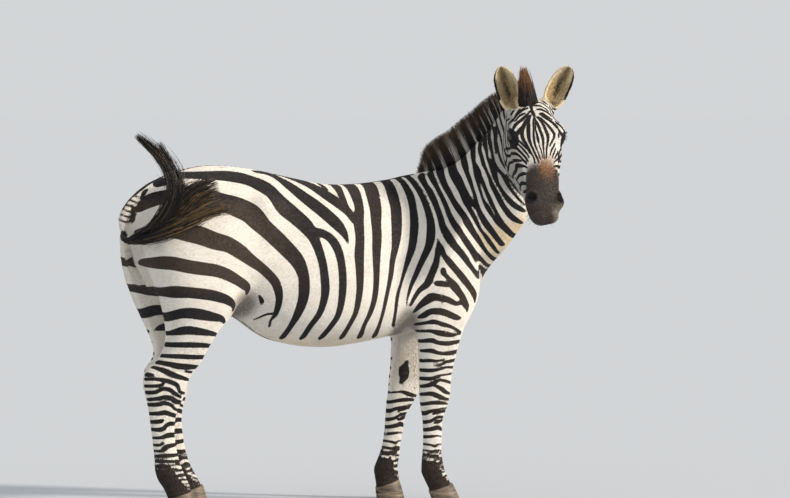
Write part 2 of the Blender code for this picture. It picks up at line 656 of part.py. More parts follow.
# Ears, forelock and mane stand on the flesh and follow its surface.
for side, base, tip, opening in (
    ("right", (0.763, -0.339, 1.530), (0.700, -0.345, 1.702), (-0.37, -0.93, 0.0)),
    ("left", (0.900, -0.364, 1.543), (0.984, -0.370, 1.703), (-0.27, -0.95, 0.0)),
):
    seated(ear("ear_" + side, base, tip, opening, 0.048, 0.036), body, Vector(tip) - Vector(base))
forelock = loft("forelock", [
    [
        (x + wide * math.cos(a), y + deep * math.sin(a), z)
        for a in (2 * math.pi * k / 10 for k in range(10))
    ]
    for x, y, z, wide, deep in FORELOCK
])
seated(forelock, body, (0, -0.1, 1))
seated(crest_fin("mane"), body, (-0.4, 0, 0.9))

# The tail's hair: locks that leave the dock's end, sweep round the right haunch and fan out.
points, quads = net_mesh(hair_of_tail, (-0.84, -0.42, 0.98), (-0.30, 0.02, 1.48), 0.006)
switch = mesh_object("tail_switch", points, quads)
thinned(switch, 560)
dock_end, dock_way = (-0.739, -0.052, 1.058), Vector((-0.05, -0.55, -0.83))
tool = zone("zone", ((dock_end, tuple(dock_way)), ((-0.690, 0, 0), (1, 0, 0)), ((0, 0, 1.120), (0, 0, 1))), CUT)
combine(switch, tool, "DIFFERENCE")
drop(tool)
tool = zone("zone", (
    (dock_end, tuple(-dock_way)), ((-0.715, 0, 0), (1, 0, 0)), ((0, -0.035, 0), (0, 1, 0)), ((0, 0, 1.080), (0, 0, 1)),
    ((0, 0, 1.000), (0, 0, -1)),
))
combine(body, tool, "DIFFERENCE")
drop(tool)

# Parting: head, neck, tail's dock, then the legs; the trunk is what is left.
head = part_off(body, "head", (
    ((0.815, -0.335, 1.605), (0.153, 0.877, 0.456)),
    (tuple(on_head(0, 0, -0.272)), tuple(-BROW_WAY)),
    ((0.600, 0, 0), (-1, 0, 0)),
))
part_off(body, "neck", (((0.605, 0.000, 1.100), (-0.930, 0.000, -0.367)),))
part_off(body, "tail_dock", (
    ((-0.655, 0.000, 1.228), (0.921, 0.000, -0.389)),
    ((0, 0, 1.035), (0, 0, -1)),
    ((0, 0.034, 0), (0, 1, 0)),
    ((-0.655, -0.034, 0), (0.398, -0.917, 0)),
))
legs = {}
for side, sign in (("right", -1), ("left", 1)):
    legs["hindleg_" + side] = part_off(body, "hindleg_" + side, (
        ((-0.400, 0.060 * sign, 0.770), (0.25, 0.60 * sign, 0.76)),
        ((0, 0.004 * sign, 0), (0, -sign, 0)),
        ((-0.150, 0, 0), (1, 0, 0)),
    ))
    legs["foreleg_" + side] = part_off(body, "foreleg_" + side, (
        ((0.500, 0.060 * sign, 0.635), (0, 0.70 * sign, 0.714)),
        ((0, 0.052 * sign, 0), (0, -sign, 0)),
        ((0.400, 0, 0.660), (-0.991, 0, 0.135)),
    ))

# Hoofs below the legs' coronet planes.
for name, leg, heel, toe, y, back, front in HOOFS:
    hoof(name, heel, toe, y, back, front)
    way = (-(front[1] - back[1]), 0, front[0] - back[0])
    tool = zone("zone", (((back[0], 0, back[1]), way), ), CUT)
    combine(legs[leg], tool, "DIFFERENCE")
    drop(tool)

# The middle of the underside becomes the origin, and each piece is placed by its own middle.
LOOKS = {  # colour, roughness
    "coat": ((0.62, 0.55, 0.47), 0.80),
    "black_hair": ((0.045, 0.036, 0.032), 0.60),
    "tail_hair": ((0.16, 0.11, 0.07), 0.60),
    "eye": ((0.012, 0.008, 0.006), 0.10),
    "hoof": ((0.17, 0.13, 0.10), 0.55),
}
PARTS = [o for o in bpy.data.objects if o.type == "MESH"]
everything = [v.co for o in PARTS for v in o.data.vertices]
low = Vector(min(p[k] for p in everything) for k in range(3))
high = Vector(max(p[k] for p in everything) for k in range(3))
underside = Vector(((low.x + high.x) / 2, (low.y + high.y) / 2, low.z))

zebra = bpy.data.objects.new("zebra", None)
bpy.context.scene.collection.objects.link(zebra)
for obj in PARTS:
    box = [Vector(c) for c in obj.bound_box]
    middle = sum(box, Vector()) / 8
    obj.data.transform(Matrix.Translation(-middle))
    obj.location = middle - underside
    obj.parent = zebra
    look = {"mane": "black_hair", "forelock": "black_hair", "tail_switch": "tail_hair"}.get(
        obj.name, obj.name.split("_")[0] if obj.name.startswith(("eye", "hoof")) else "coat")
    colour, roughness = LOOKS[look]
    material = bpy.data.materials.new(obj.name)
    material.use_nodes = True
    shader = material.node_tree.nodes["Principled BSDF"]
    shader.inputs["Base Color"].default_value = (*colour, 1.0)
    shader.inputs["Roughness"].default_value = roughness
    shader.inputs["Metallic"].default_value = 0.0
    obj.data.materials.clear()
    obj.data.materials.append(material)
    obj.data.shade_smooth()
    obj.data.set_sharp_from_angle(angle=math.radians(50))
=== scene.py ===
"""A life-size plains zebra, dressed: striped skin and short coat over the solid figure, upright mane, tail hair,
hoofs and eyes.  Metres; +X the way the body faces, +Y its left side, +Z up, the floor at z = 0.
"""
import math

import bmesh
import bpy
import numpy as np
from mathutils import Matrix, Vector


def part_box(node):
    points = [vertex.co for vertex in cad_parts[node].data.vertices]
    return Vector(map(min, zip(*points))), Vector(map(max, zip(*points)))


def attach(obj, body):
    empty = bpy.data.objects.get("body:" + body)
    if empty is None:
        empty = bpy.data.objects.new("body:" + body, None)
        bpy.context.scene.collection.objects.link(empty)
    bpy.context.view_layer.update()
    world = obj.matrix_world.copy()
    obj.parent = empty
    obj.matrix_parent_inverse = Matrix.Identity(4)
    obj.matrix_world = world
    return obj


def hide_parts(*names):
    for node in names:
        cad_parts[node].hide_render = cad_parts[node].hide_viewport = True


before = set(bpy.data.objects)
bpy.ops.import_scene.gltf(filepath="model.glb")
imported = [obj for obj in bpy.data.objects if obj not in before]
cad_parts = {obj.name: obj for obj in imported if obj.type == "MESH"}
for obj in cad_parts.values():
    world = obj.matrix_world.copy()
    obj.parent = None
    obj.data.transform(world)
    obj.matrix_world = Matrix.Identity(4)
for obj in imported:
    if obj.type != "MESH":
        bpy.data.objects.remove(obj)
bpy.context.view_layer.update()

# ================================================================ the hide
# The hide covers head, neck, trunk, legs, ears and the tail's root without a seam.  It is grown on the same
# limbs, barrel and neck as the solids, a coat's depth inside them, with lids, nostrils and lips added.
POLL = np.array((0.828, -0.377, 1.596))
NOSE_WAY = np.array((-0.068, -0.500, -0.868)) / np.linalg.norm((-0.068, -0.500, -0.868))
HEAD_LEFT = np.array((0.997, -0.069, 0.0))
HEAD_LEFT = HEAD_LEFT - NOSE_WAY * (HEAD_LEFT @ NOSE_WAY)
HEAD_LEFT /= np.linalg.norm(HEAD_LEFT)
BROW_WAY = -np.cross(HEAD_LEFT, NOSE_WAY)
HEAD_AXES = np.array([NOSE_WAY, HEAD_LEFT, BROW_WAY])
EYE_IN_HEAD = np.array((0.166, 0.097, -0.046))
EYE_RADIUS = 0.021


def on_head(along_nose, left, out):
    """The place of a point given in the head's own axes."""
    return POLL + NOSE_WAY * along_nose + HEAD_LEFT * left + BROW_WAY * out


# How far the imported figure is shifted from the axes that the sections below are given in.
low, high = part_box("eye_right")
SHIFT = (np.array(low) + np.array(high)) / 2 - on_head(EYE_IN_HEAD[0], -EYE_IN_HEAD[1], EYE_IN_HEAD[2])
SHIFT[2] = 0.0

# barrel: x, top, bottom, half width, height of the widest level, squareness above and below it
BARREL = (
    (-0.724, 1.090, 0.960, 0.030, 1.030, 2.0, 2.0),
    (-0.695, 1.155, 0.900, 0.080, 1.035, 2.0, 2.0),
    (-0.640, 1.225, 0.830, 0.140, 1.040, 2.0, 2.0),
    (-0.560, 1.278, 0.780, 0.190, 1.040, 2.1, 2.0),
    (-0.450, 1.315, 0.785, 0.230, 1.030, 2.1, 2.0),
    (-0.330, 1.322, 0.762, 0.248, 1.010, 2.1, 2.0),
    (-0.250, 1.314, 0.716, 0.257, 0.980, 2.1, 2.1),
    (-0.160, 1.299, 0.655, 0.265, 0.940, 2.1, 2.1),
    (-0.050, 1.275, 0.622, 0.275, 0.910, 2.1, 2.1),
    (0.100, 1.248, 0.608, 0.275, 0.900, 2.1, 2.1),
    (0.230, 1.248, 0.622, 0.258, 0.905, 2.0, 2.1),
    (0.360, 1.263, 0.645, 0.228, 0.930, 1.9, 2.1),
    (0.470, 1.283, 0.662, 0.200, 0.950, 1.7, 2.1),
    (0.560, 1.275, 0.680, 0.182, 0.940, 1.7, 2.1),
    (0.640, 1.190, 0.710, 0.160, 0.920, 1.8, 2.1),
    (0.700, 1.060, 0.755, 0.120, 0.890, 2.0, 2.0),
    (0.728, 0.960, 0.810, 0.060, 0.870, 2.0, 2.0),
)
# hind leg of the right side: height, back edge, front edge, middle y, half thickness
HIND_LEG = (
    (1.245, -0.560, -0.340, -0.085, 0.066),
    (1.180, -0.592, -0.306, -0.112, 0.092),
    (1.080, -0.674, -0.270, -0.140, 0.112),
    (0.980, -0.674, -0.262, -0.150, 0.118),
    (0.900, -0.656, -0.280, -0.156, 0.114),
    (0.806, -0.630, -0.318, -0.156, 0.102),
    (0.740, -0.614, -0.362, -0.152, 0.088),
    (0.674, -0.606, -0.402, -0.147, 0.074),
    (0.610, -0.620, -0.440, -0.142, 0.060),
    (0.565, -0.652, -0.463, -0.139, 0.051),
    (0.530, -0.688, -0.492, -0.136, 0.047),
    (0.490, -0.694, -0.513, -0.134, 0.046),
    (0.440, -0.683, -0.528, -0.132, 0.042),
    (0.390, -0.671, -0.552, -0.131, 0.035),
    (0.330, -0.662, -0.566, -0.130, 0.031),
    (0.260, -0.653, -0.562, -0.130, 0.030),
    (0.200, -0.646, -0.550, -0.130, 0.032),
    (0.150, -0.642, -0.532, -0.130, 0.037),
    (0.120, -0.632, -0.518, -0.130, 0.038),
    (0.090, -0.612, -0.503, -0.130, 0.035),
    (0.060, -0.596, -0.492, -0.130, 0.036),
    (0.020, -0.585, -0.480, -0.130, 0.038),
)
# fore leg of the right side, the same way
FORE_LEG = (
    (1.190, 0.480, 0.560, -0.068, 0.040),
    (1.110, 0.460, 0.600, -0.094, 0.064),
    (1.020, 0.442, 0.640, -0.116, 0.080),
    (0.900, 0.425, 0.690, -0.132, 0.088),
    (0.800, 0.418, 0.690, -0.138, 0.086),
    (0.740, 0.420, 0.662, -0.140, 0.080),
    (0.690, 0.424, 0.634, -0.141, 0.072),
    (0.620, 0.440, 0.610, -0.140, 0.060),
    (0.550, 0.443, 0.592, -0.138, 0.052),
    (0.480, 0.445, 0.578, -0.136, 0.046),
    (0.420, 0.449, 0.573, -0.134, 0.045),
    (0.375, 0.455, 0.563, -0.132, 0.043),
    (0.335, 0.462, 0.548, -0.131, 0.034),
    (0.270, 0.466, 0.543, -0.130, 0.029),
    (0.200, 0.464, 0.541, -0.130, 0.029),
    (0.150, 0.460, 0.548, -0.130, 0.035),
    (0.120, 0.460, 0.556, -0.130, 0.036),
    (0.090, 0.472, 0.572, -0.130, 0.033),
    (0.060, 0.488, 0.582, -0.130, 0.035),
    (0.020, 0.500, 0.592, -0.130, 0.038),
)
# How far the left leg's foot is set from the right one's, by height.
LEFT_HIND_SHIFT = (
    (0.0, 0.138), (0.15, 0.126), (0.33, 0.122), (0.45, 0.107), (0.586, 0.078), (0.644, 0.045),
    (0.70, 0.020), (0.76, 0.004), (1.18, 0.0),
)
LEFT_FORE_SHIFT = (
    (0.0, -0.138), (0.06, -0.116), (0.116, -0.097), (0.172, -0.076), (0.231, -0.064), (0.337, -0.048),
    (0.377, -0.037), (0.41, -0.026), (0.468, -0.016), (0.53, -0.008), (0.62, 0.0), (1.02, 0.0),
)
# neck: the crest's line, the throat's line, and the half thickness by how far along the neck
NECK_WAY = np.array((0.748, -0.562, 0.354)) / np.linalg.norm((0.748, -0.562, 0.354))
CREST = (
    (0.440, 0.000, 1.215), (0.545, 0.000, 1.285), (0.605, -0.020, 1.312), (0.655, -0.050, 1.345),
    (0.690, -0.095, 1.395), (0.722, -0.155, 1.452), (0.742, -0.210, 1.510), (0.765, -0.270, 1.556),
    (0.800, -0.320, 1.572),
)
THROAT = (
    (0.640, 0.000, 0.750), (0.745, -0.008, 0.845), (0.795, -0.040, 0.925), (0.835, -0.080, 0.985),
    (0.866, -0.120, 1.045), (0.896, -0.155, 1.115), (0.896, -0.172, 1.190), (0.880, -0.185, 1.270),
    (0.870, -0.215, 1.340), (0.872, -0.280, 1.385), (0.876, -0.330, 1.410),
)
NECK_THICKNESS = (
    (0.74, 0.160), (0.86, 0.150), (0.94, 0.130), (1.02, 0.114), (1.10, 0.100), (1.18, 0.090), (1.25, 0.082),
    (1.33, 0.078),
)
# tail's root: centre line and thickness
DOCK = (
    ((-0.550, 0.000, 1.245), 0.030),
    ((-0.615, 0.000, 1.230), 0.026),
    ((-0.670, -0.004, 1.194), 0.025),
    ((-0.713, -0.010, 1.147), 0.024),
    ((-0.736, -0.022, 1.100), 0.022),
    ((-0.738, -0.045, 1.064), 0.018),
)
# head, along the nose: distance from the poll, forehead side, jaw side, half width, widest level, squareness
HEAD = (
    (-0.020, -0.066, -0.150, 0.046, -0.095, 2.0, 2.0),
    (0.000, -0.038, -0.195, 0.068, -0.085, 2.1, 1.9),
    (0.030, -0.012, -0.228, 0.081, -0.080, 2.2, 1.9),
    (0.070, 0.006, -0.250, 0.089, -0.080, 2.3, 1.9),
    (0.110, 0.013, -0.262, 0.095, -0.080, 2.3, 1.9),
    (0.150, 0.014, -0.267, 0.098, -0.080, 2.3, 1.9),
    (0.190, 0.010, -0.267, 0.098, -0.080, 2.3, 1.9),
    (0.240, 0.003, -0.260, 0.094, -0.080, 2.2, 1.9),
    (0.290, -0.006, -0.240, 0.088, -0.080, 2.2, 1.9),
    (0.340, -0.014, -0.211, 0.079, -0.080, 2.1, 2.0),
    (0.380, -0.020, -0.184, 0.071, -0.080, 2.1, 2.0),
    (0.420, -0.026, -0.164, 0.067, -0.084, 2.1, 2.1),
    (0.455, -0.034, -0.153, 0.065, -0.088, 2.1, 2.1),
    (0.485, -0.047, -0.146, 0.057, -0.092, 2.1, 2.1),
    (0.508, -0.068, -0.130, 0.038, -0.096, 2.0, 2.0),
    (0.520, -0.090, -0.108, 0.012, -0.098, 2.0, 2.0),
)
# forms under the hide, in the head's own axes: middle, radii, fillet
HEAD_FORMS = (
    ((0.155, 0.082, -0.030), (0.050, 0.032, 0.030), 0.030),   # brow and orbit
    ((0.235, 0.076, -0.068), (0.090, 0.018, 0.018), 0.030),   # cheek ridge
    ((0.165, 0.057, -0.165), (0.100, 0.037, 0.085), 0.030),   # cheek muscle
    ((0.438, 0.052, -0.060), (0.038, 0.026, 0.030), 0.020),   # nostril wing
    ((0.470, 0.000, -0.134), (0.036, 0.036, 0.022), 0.020),   # chin
    ((0.020, 0.060, -0.052), (0.032, 0.028, 0.034), 0.030),   # ear root
)
# ear, from base to tip: half width, depth of the cup, thickness of its wall
EAR = (
    (0.00, 0.50, 0.70, 0.010),
    (0.12, 0.78, 0.95, 0.009),
    (0.30, 0.96, 1.00, 0.008),
    (0.50, 1.00, 0.88, 0.007),
    (0.68, 0.93, 0.68, 0.006),
    (0.82, 0.78, 0.46, 0.006),
    (0.93, 0.52, 0.28, 0.006),
    (1.00, 0.18, 0.12, 0.006),
)
EAR_HALF_WIDTH, EAR_CUP = 0.048, 0.036
EARS = (  # base, tip, the way its opening faces
    ((0.763, -0.339, 1.530), (0.700, -0.345, 1.702), (-0.37, -0.93, 0.0)),
    ((0.900, -0.364, 1.543), (0.984, -0.370, 1.703), (-0.27, -0.95, 0.0)),
)


def along(t, table):
    """The table's other columns at t, on one smooth curve through its rows."""
    table = np.array(table, float)
    keys, values = table[:, 0], table[:, 1:]
    if keys[0] > keys[-1]:
        keys, values = keys[::-1], values[::-1]
    slopes = np.gradient(values, keys, axis=0)
    t = np.clip(t, keys[0], keys[-1])
    i = np.clip(np.searchsorted(keys, t, side="right") - 1, 0, len(keys) - 2)
    step = keys[i + 1] - keys[i]
    s = ((t - keys[i]) / step)[:, None]
    step = step[:, None]
    return (
        values[i] * (1 + 2 * s) * (1 - s) ** 2
        + slopes[i] * step * s * (1 - s) ** 2
        + values[i + 1] * s**2 * (3 - 2 * s)
        + slopes[i + 1] * step * s**2 * (s - 1)
    )


def oval(u, v, half_u, half_v, squareness=2.0):
    """Rough distance to an oval of these half sizes, negative inside."""
    half_u, half_v = np.maximum(half_u, 1e-4), np.maximum(half_v, 1e-4)
    u, v = np.abs(u), np.abs(v)
    n = squareness
    ring = np.maximum((u / half_u) ** n + (v / half_v) ** n, 1e-9) ** (1 / n)
    steep = ring ** (1 - n) * np.hypot(u ** (n - 1) / half_u**n, v ** (n - 1) / half_v**n)
    return np.maximum((ring - 1) / np.maximum(steep, 1e-6), -np.minimum(half_u, half_v))


def past_ends(d, t, first, last):
    """A section's distance d, grown by how far the point lies past the stack's ends."""
    over = np.maximum(np.maximum(first - t, t - last), 0)
    return np.where(over > 0, np.hypot(np.maximum(d, 0), over), d)


def melt(a, b, reach):
    """The nearer of two surfaces, with a fillet of this reach between them."""
    share = np.maximum(reach - np.abs(a - b), 0) / reach
    return np.minimum(a, b) - share * share * reach / 4


def carve(a, b, reach):
    """Surface a with the form b taken out of it."""
    return -melt(-a, b, reach)


def ease(x, low, high):
    """0 below low, 1 above high, and a smooth rise between them."""
    s = np.clip((x - low) / (high - low), 0, 1)
    return s * s * (3 - 2 * s)


def egg_stack(t, side, rise, table):
    """Distance to a stack of eggs: the barrel or the head, each level with its own top, bottom and width."""
    top, bottom, half, level, upper, lower = along(t, table).T
    v = rise - level
    height = np.where(v > 0, top - level, level - bottom)
    d = oval(side, v, half, height, np.where(v > 0, upper, lower))
    return past_ends(d, t, table[0][0], table[-1][0])


def leg_stack(p, table, shift, side):
    """Distance to a leg built from level ovals; side is -1 for right, 1 for left."""
    z = p[:, 2]
    back, front, middle, half = along(z, table).T
    x = p[:, 0] - along(z, shift)[:, 0] if shift else p[:, 0]
    y = p[:, 1] - middle * -side
    d = oval(x - (back + front) / 2, y, (front - back) / 2, half, 2.2)
    keys = [row[0] for row in table]
    return past_ends(d, z, min(keys), max(keys))


def neck_frame(p):
    """How far along the neck a point is, its neighbouring crest and throat, and the throat-to-crest way."""
    t = p @ NECK_WAY
    crest = along(t, [(np.array(c) @ NECK_WAY, *c) for c in CREST])
    throat = along(t, [(np.array(c) @ NECK_WAY, *c) for c in THROAT])
    up = (crest - throat) / 2
    height = np.linalg.norm(up, axis=1)
    return t, crest, throat, up / height[:, None], height


def neck_stack(p):
    """Distance to the neck built from ovals between crest and throat."""
    t, crest, throat, up, height = neck_frame(p)
    half = along(t, NECK_THICKNESS)[:, 0]
    side = np.cross(up, NECK_WAY)
    off = p - (crest + throat) / 2
    d = oval((off * side).sum(1), (off * up).sum(1), half, height, 2.0)
    return past_ends(d, t, NECK_THICKNESS[0][0], NECK_THICKNESS[-1][0])


def ball(p, centre, radii):
    """Rough distance to an ellipsoid."""
    q = (p - np.array(centre)) / np.array(radii)
    ring = np.maximum(np.linalg.norm(q, axis=1), 1e-6)
    steep = np.linalg.norm(q / np.array(radii), axis=1) / ring
    return (ring - 1) / np.maximum(steep, 1e-6)


def cord(p, line):
    """Distance to a chain of round cones through these centres and radii."""
    line = [(np.array(c), r) for c, r in line]
    best = np.full(len(p), 9.0)
    for (a, ra), (b, rb) in zip(line, line[1:]):
        way = b - a
        t = np.clip((p - a) @ way / (way @ way), 0, 1)
        best = np.minimum(best, np.linalg.norm(p - a - t[:, None] * way, axis=1) - (ra + t * (rb - ra)))
    return best


def rounded(line, pieces=6):
    """The same line with points added on a smooth curve between its own."""
    rows = [[i, *c, r] for i, (c, r) in enumerate(line)]
    fine = along(np.linspace(0, len(line) - 1, pieces * (len(line) - 1) + 1), rows)
    return [(tuple(row[:3]), row[3]) for row in fine]


def unit(ways):
    """The same ways, each one metre long."""
    return ways / np.maximum(np.linalg.norm(ways, axis=-1, keepdims=True), 1e-9)


def head_place(p):
    """Points in the head's own axes: along the nose, to its left, out of the forehead."""
    return (p - POLL) @ HEAD_AXES.T


# the eye's own axes in the head (for the left eye): out of the socket, along the lids, across them
EYE_OUT = np.array((0.10, 0.90, 0.42)) / np.linalg.norm((0.10, 0.90, 0.42))
LID_WAY = np.array((0.93, -0.24, 0.20))
LID_WAY = LID_WAY - EYE_OUT * (LID_WAY @ EYE_OUT)
LID_WAY /= np.linalg.norm(LID_WAY)
LID_UP = np.cross(EYE_OUT, LID_WAY)
LID_UP *= np.sign(LID_UP[2])


def head_form(p):
    """The head with its sockets, lids, nostrils, lips and folds."""
    q = head_place(p)
    q[:, 1] = np.abs(q[:, 1])
    a, s, d3 = q.T
    d = egg_stack(a, s, d3, HEAD)
    for centre, radii, reach in HEAD_FORMS:
        d = melt(d, ball(q, centre, radii), reach)
    d = carve(d, ball(q, (0.105, 0.100, -0.052), (0.034, 0.012, 0.022)), 0.020)      # hollow above the eye
    d = carve(d, ball(q, (0.330, 0.094, -0.070), (0.060, 0.014, 0.018)), 0.024)  # before the cheek ridge
    d = melt(d, ball(q, (0.500, 0.020, -0.085), (0.024, 0.034, 0.030)), 0.016)       # upper lip
    # lids: a shell round the eye, opened by an almond
    e = q - EYE_IN_HEAD
    from_eye = np.linalg.norm(e, axis=1)
    out, wide, tall = e @ EYE_OUT, e @ LID_WAY, e @ LID_UP
    d = melt(d, from_eye - EYE_RADIUS - 0.0035, 0.012)
    # brow fold
    d = melt(d, ball(np.stack([out, wide, tall], 1), (0.013, 0.0, 0.0195), (0.009, 0.026, 0.006)), 0.010)
    almond = np.maximum(np.abs(tall + 0.001) - 0.0125 * (1 - (wide / 0.0215) ** 2), -0.02)
    hole = np.maximum(np.maximum(almond, EYE_RADIUS - 0.0022 - from_eye), 0.004 - out)
    d = carve(d, hole, 0.003)
    # nostrils: slanting commas
    n = q - np.array((0.436, 0.062, -0.040))
    turn = np.array(((0.78, 0.45, 0.43), (-0.35, 0.89, -0.29), (-0.51, 0.08, 0.86)))
    d = carve(d, ball(n @ turn.T, (0, 0, 0), (0.023, 0.019, 0.0115)), 0.007)
    # mouth: a groove from the corner round the front
    d = carve(d, cord(q, (
        ((0.405, 0.060, -0.128), 0.0022), ((0.450, 0.060, -0.124), 0.0032), ((0.490, 0.046, -0.117), 0.0036),
        ((0.514, 0.020, -0.112), 0.0036), ((0.520, 0.000, -0.111), 0.0036),
    )), 0.006)
    # wrinkles behind the nostril
    ripple = np.sin((a * 0.8 + s * 0.5) * 620) * ease(a, 0.385, 0.41) * (1 - ease(a, 0.47, 0.49))
    return d + 0.0005 * (ripple * ease(s, 0.03, 0.05))


def ear_axes(base, tip, opening):
    """An ear's base, its height, and the ways up, out of its opening and across it."""
    base, tip, front = (np.array(v, float) for v in (base, tip, opening))
    tall = np.linalg.norm(tip - base)
    up = (tip - base) / tall
    front = front - up * (front @ up)
    front /= np.linalg.norm(front)
    return base, tall, up, front, np.cross(up, front)


def ear_form(p, base, tip, opening):
    """A cupped leaf: half an oval shell with a rounded rim."""
    base, tall, up, front, side = ear_axes(base, tip, opening)
    q = p - base
    t = q @ up / tall
    width, cup, wall = (along(t, EAR) * (EAR_HALF_WIDTH - 0.003, EAR_CUP - 0.001, 1.0)).T
    x = np.abs(q @ side)
    y = q @ front + EAR_CUP * 0.55 * np.sin(np.pi * np.clip(t, 0, 1))
    width = width - wall / 2
    shell = np.where(y < 0, np.abs(oval(x, y, width, cup - wall / 2)), np.hypot(x - width, y)) - wall / 2
    over = np.maximum(np.maximum(-0.12 - t, t - 0.99), 0) * tall
    return np.where(over > 0, np.hypot(np.maximum(shell, 0), over), shell)


# forms under the hide of the body: middle, radii, fillet; the right side's, mirrored to the left
BODY_FORMS = (
    ((-0.215, -0.205, 1.165), (0.050, 0.030, 0.035), 0.050),   # point of the hip
    ((0.600, -0.150, 0.895), (0.055, 0.042, 0.050), 0.050),    # point of the shoulder
    ((-0.400, -0.185, 0.800), (0.050, 0.030, 0.060), 0.060),   # stifle
)


# how deep the hide lies inside the solid figure
UNDER_LEG_HAIR, UNDER_BODY_HAIR, UNDER_FACE_HAIR = 0.002, 0.0035, 0.0022


def zebra_form(p):
    """Rough distance to the hide of the whole animal, negative inside."""
    p = p.astype(float)
    d = egg_stack(p[:, 0], p[:, 1], p[:, 2], BARREL)
    for part, box, reach in (
        (lambda q: leg_stack(q, HIND_LEG, None, -1), ((-0.85, -0.45, -0.1), (-0.1, 0.08, 1.40)), 0.070),
        (lambda q: leg_stack(q, HIND_LEG, LEFT_HIND_SHIFT, 1),
         ((-0.85, -0.08, -0.1), (-0.05, 0.45, 1.40)), 0.070),
        (lambda q: leg_stack(q, FORE_LEG, None, -1), ((0.25, -0.40, -0.1), (0.85, 0.08, 1.35)), 0.050),
        (lambda q: leg_stack(q, FORE_LEG, LEFT_FORE_SHIFT, 1),
         ((0.2, -0.08, -0.1), (0.85, 0.40, 1.35)), 0.050),
        (neck_stack, ((0.30, -0.50, 0.60), (1.05, 0.30, 1.80)), 0.060),
        (lambda q: cord(q, rounded(DOCK, 3)), ((-0.85, -0.12, 1.0), (-0.45, 0.08, 1.32)), 0.030),
        (head_form, ((0.55, -0.85, 0.95), (1.10, -0.10, 1.80)), 0.030),
    ):
        near = ((p > box[0]) & (p < box[1])).all(axis=1)
        if near.any():
            d[near] = melt(d[near], part(p[near]), reach)
    d = carve(d, ball(p, (-0.735, 0.0, 0.880), (0.105, 0.036, 0.190)), 0.045)      # cleft between the haunches
    near = np.abs(p[:, 1]) > 0.06
    mirrored = np.stack([p[near][:, 0], -np.abs(p[near][:, 1]), p[near][:, 2]], 1)
    part = d[near]
    for centre, radii, reach in BODY_FORMS:
        part = melt(part, ball(mirrored, centre, radii), reach)
    d[near] = part
    depth = np.where(p[:, 2] < 0.5, UNDER_LEG_HAIR, UNDER_BODY_HAIR)
    in_head = (p[:, 1] < -0.30) & (p[:, 2] > 1.05)
    d = d + np.where(in_head, UNDER_FACE_HAIR, depth)
    for base, tip, opening in EARS:
        near = (np.abs(p - (np.array(base) + tip) / 2) < (0.12, 0.10, 0.16)).all(axis=1)
        if near.any():
            d[near] = melt(d[near], ear_form(p[near], base, tip, opening), 0.014)
    return d


def graded(stops):
    """Grid lines between stops, each with the spacing used up to the next one."""
    lines = [stops[0][0]]
    for (a, step), (b, _) in zip(stops, stops[1:]):
        count = max(1, round((b - a) / step))
        lines += list(a + (b - a) * np.arange(1, count + 1) / count)
    return np.array(lines)


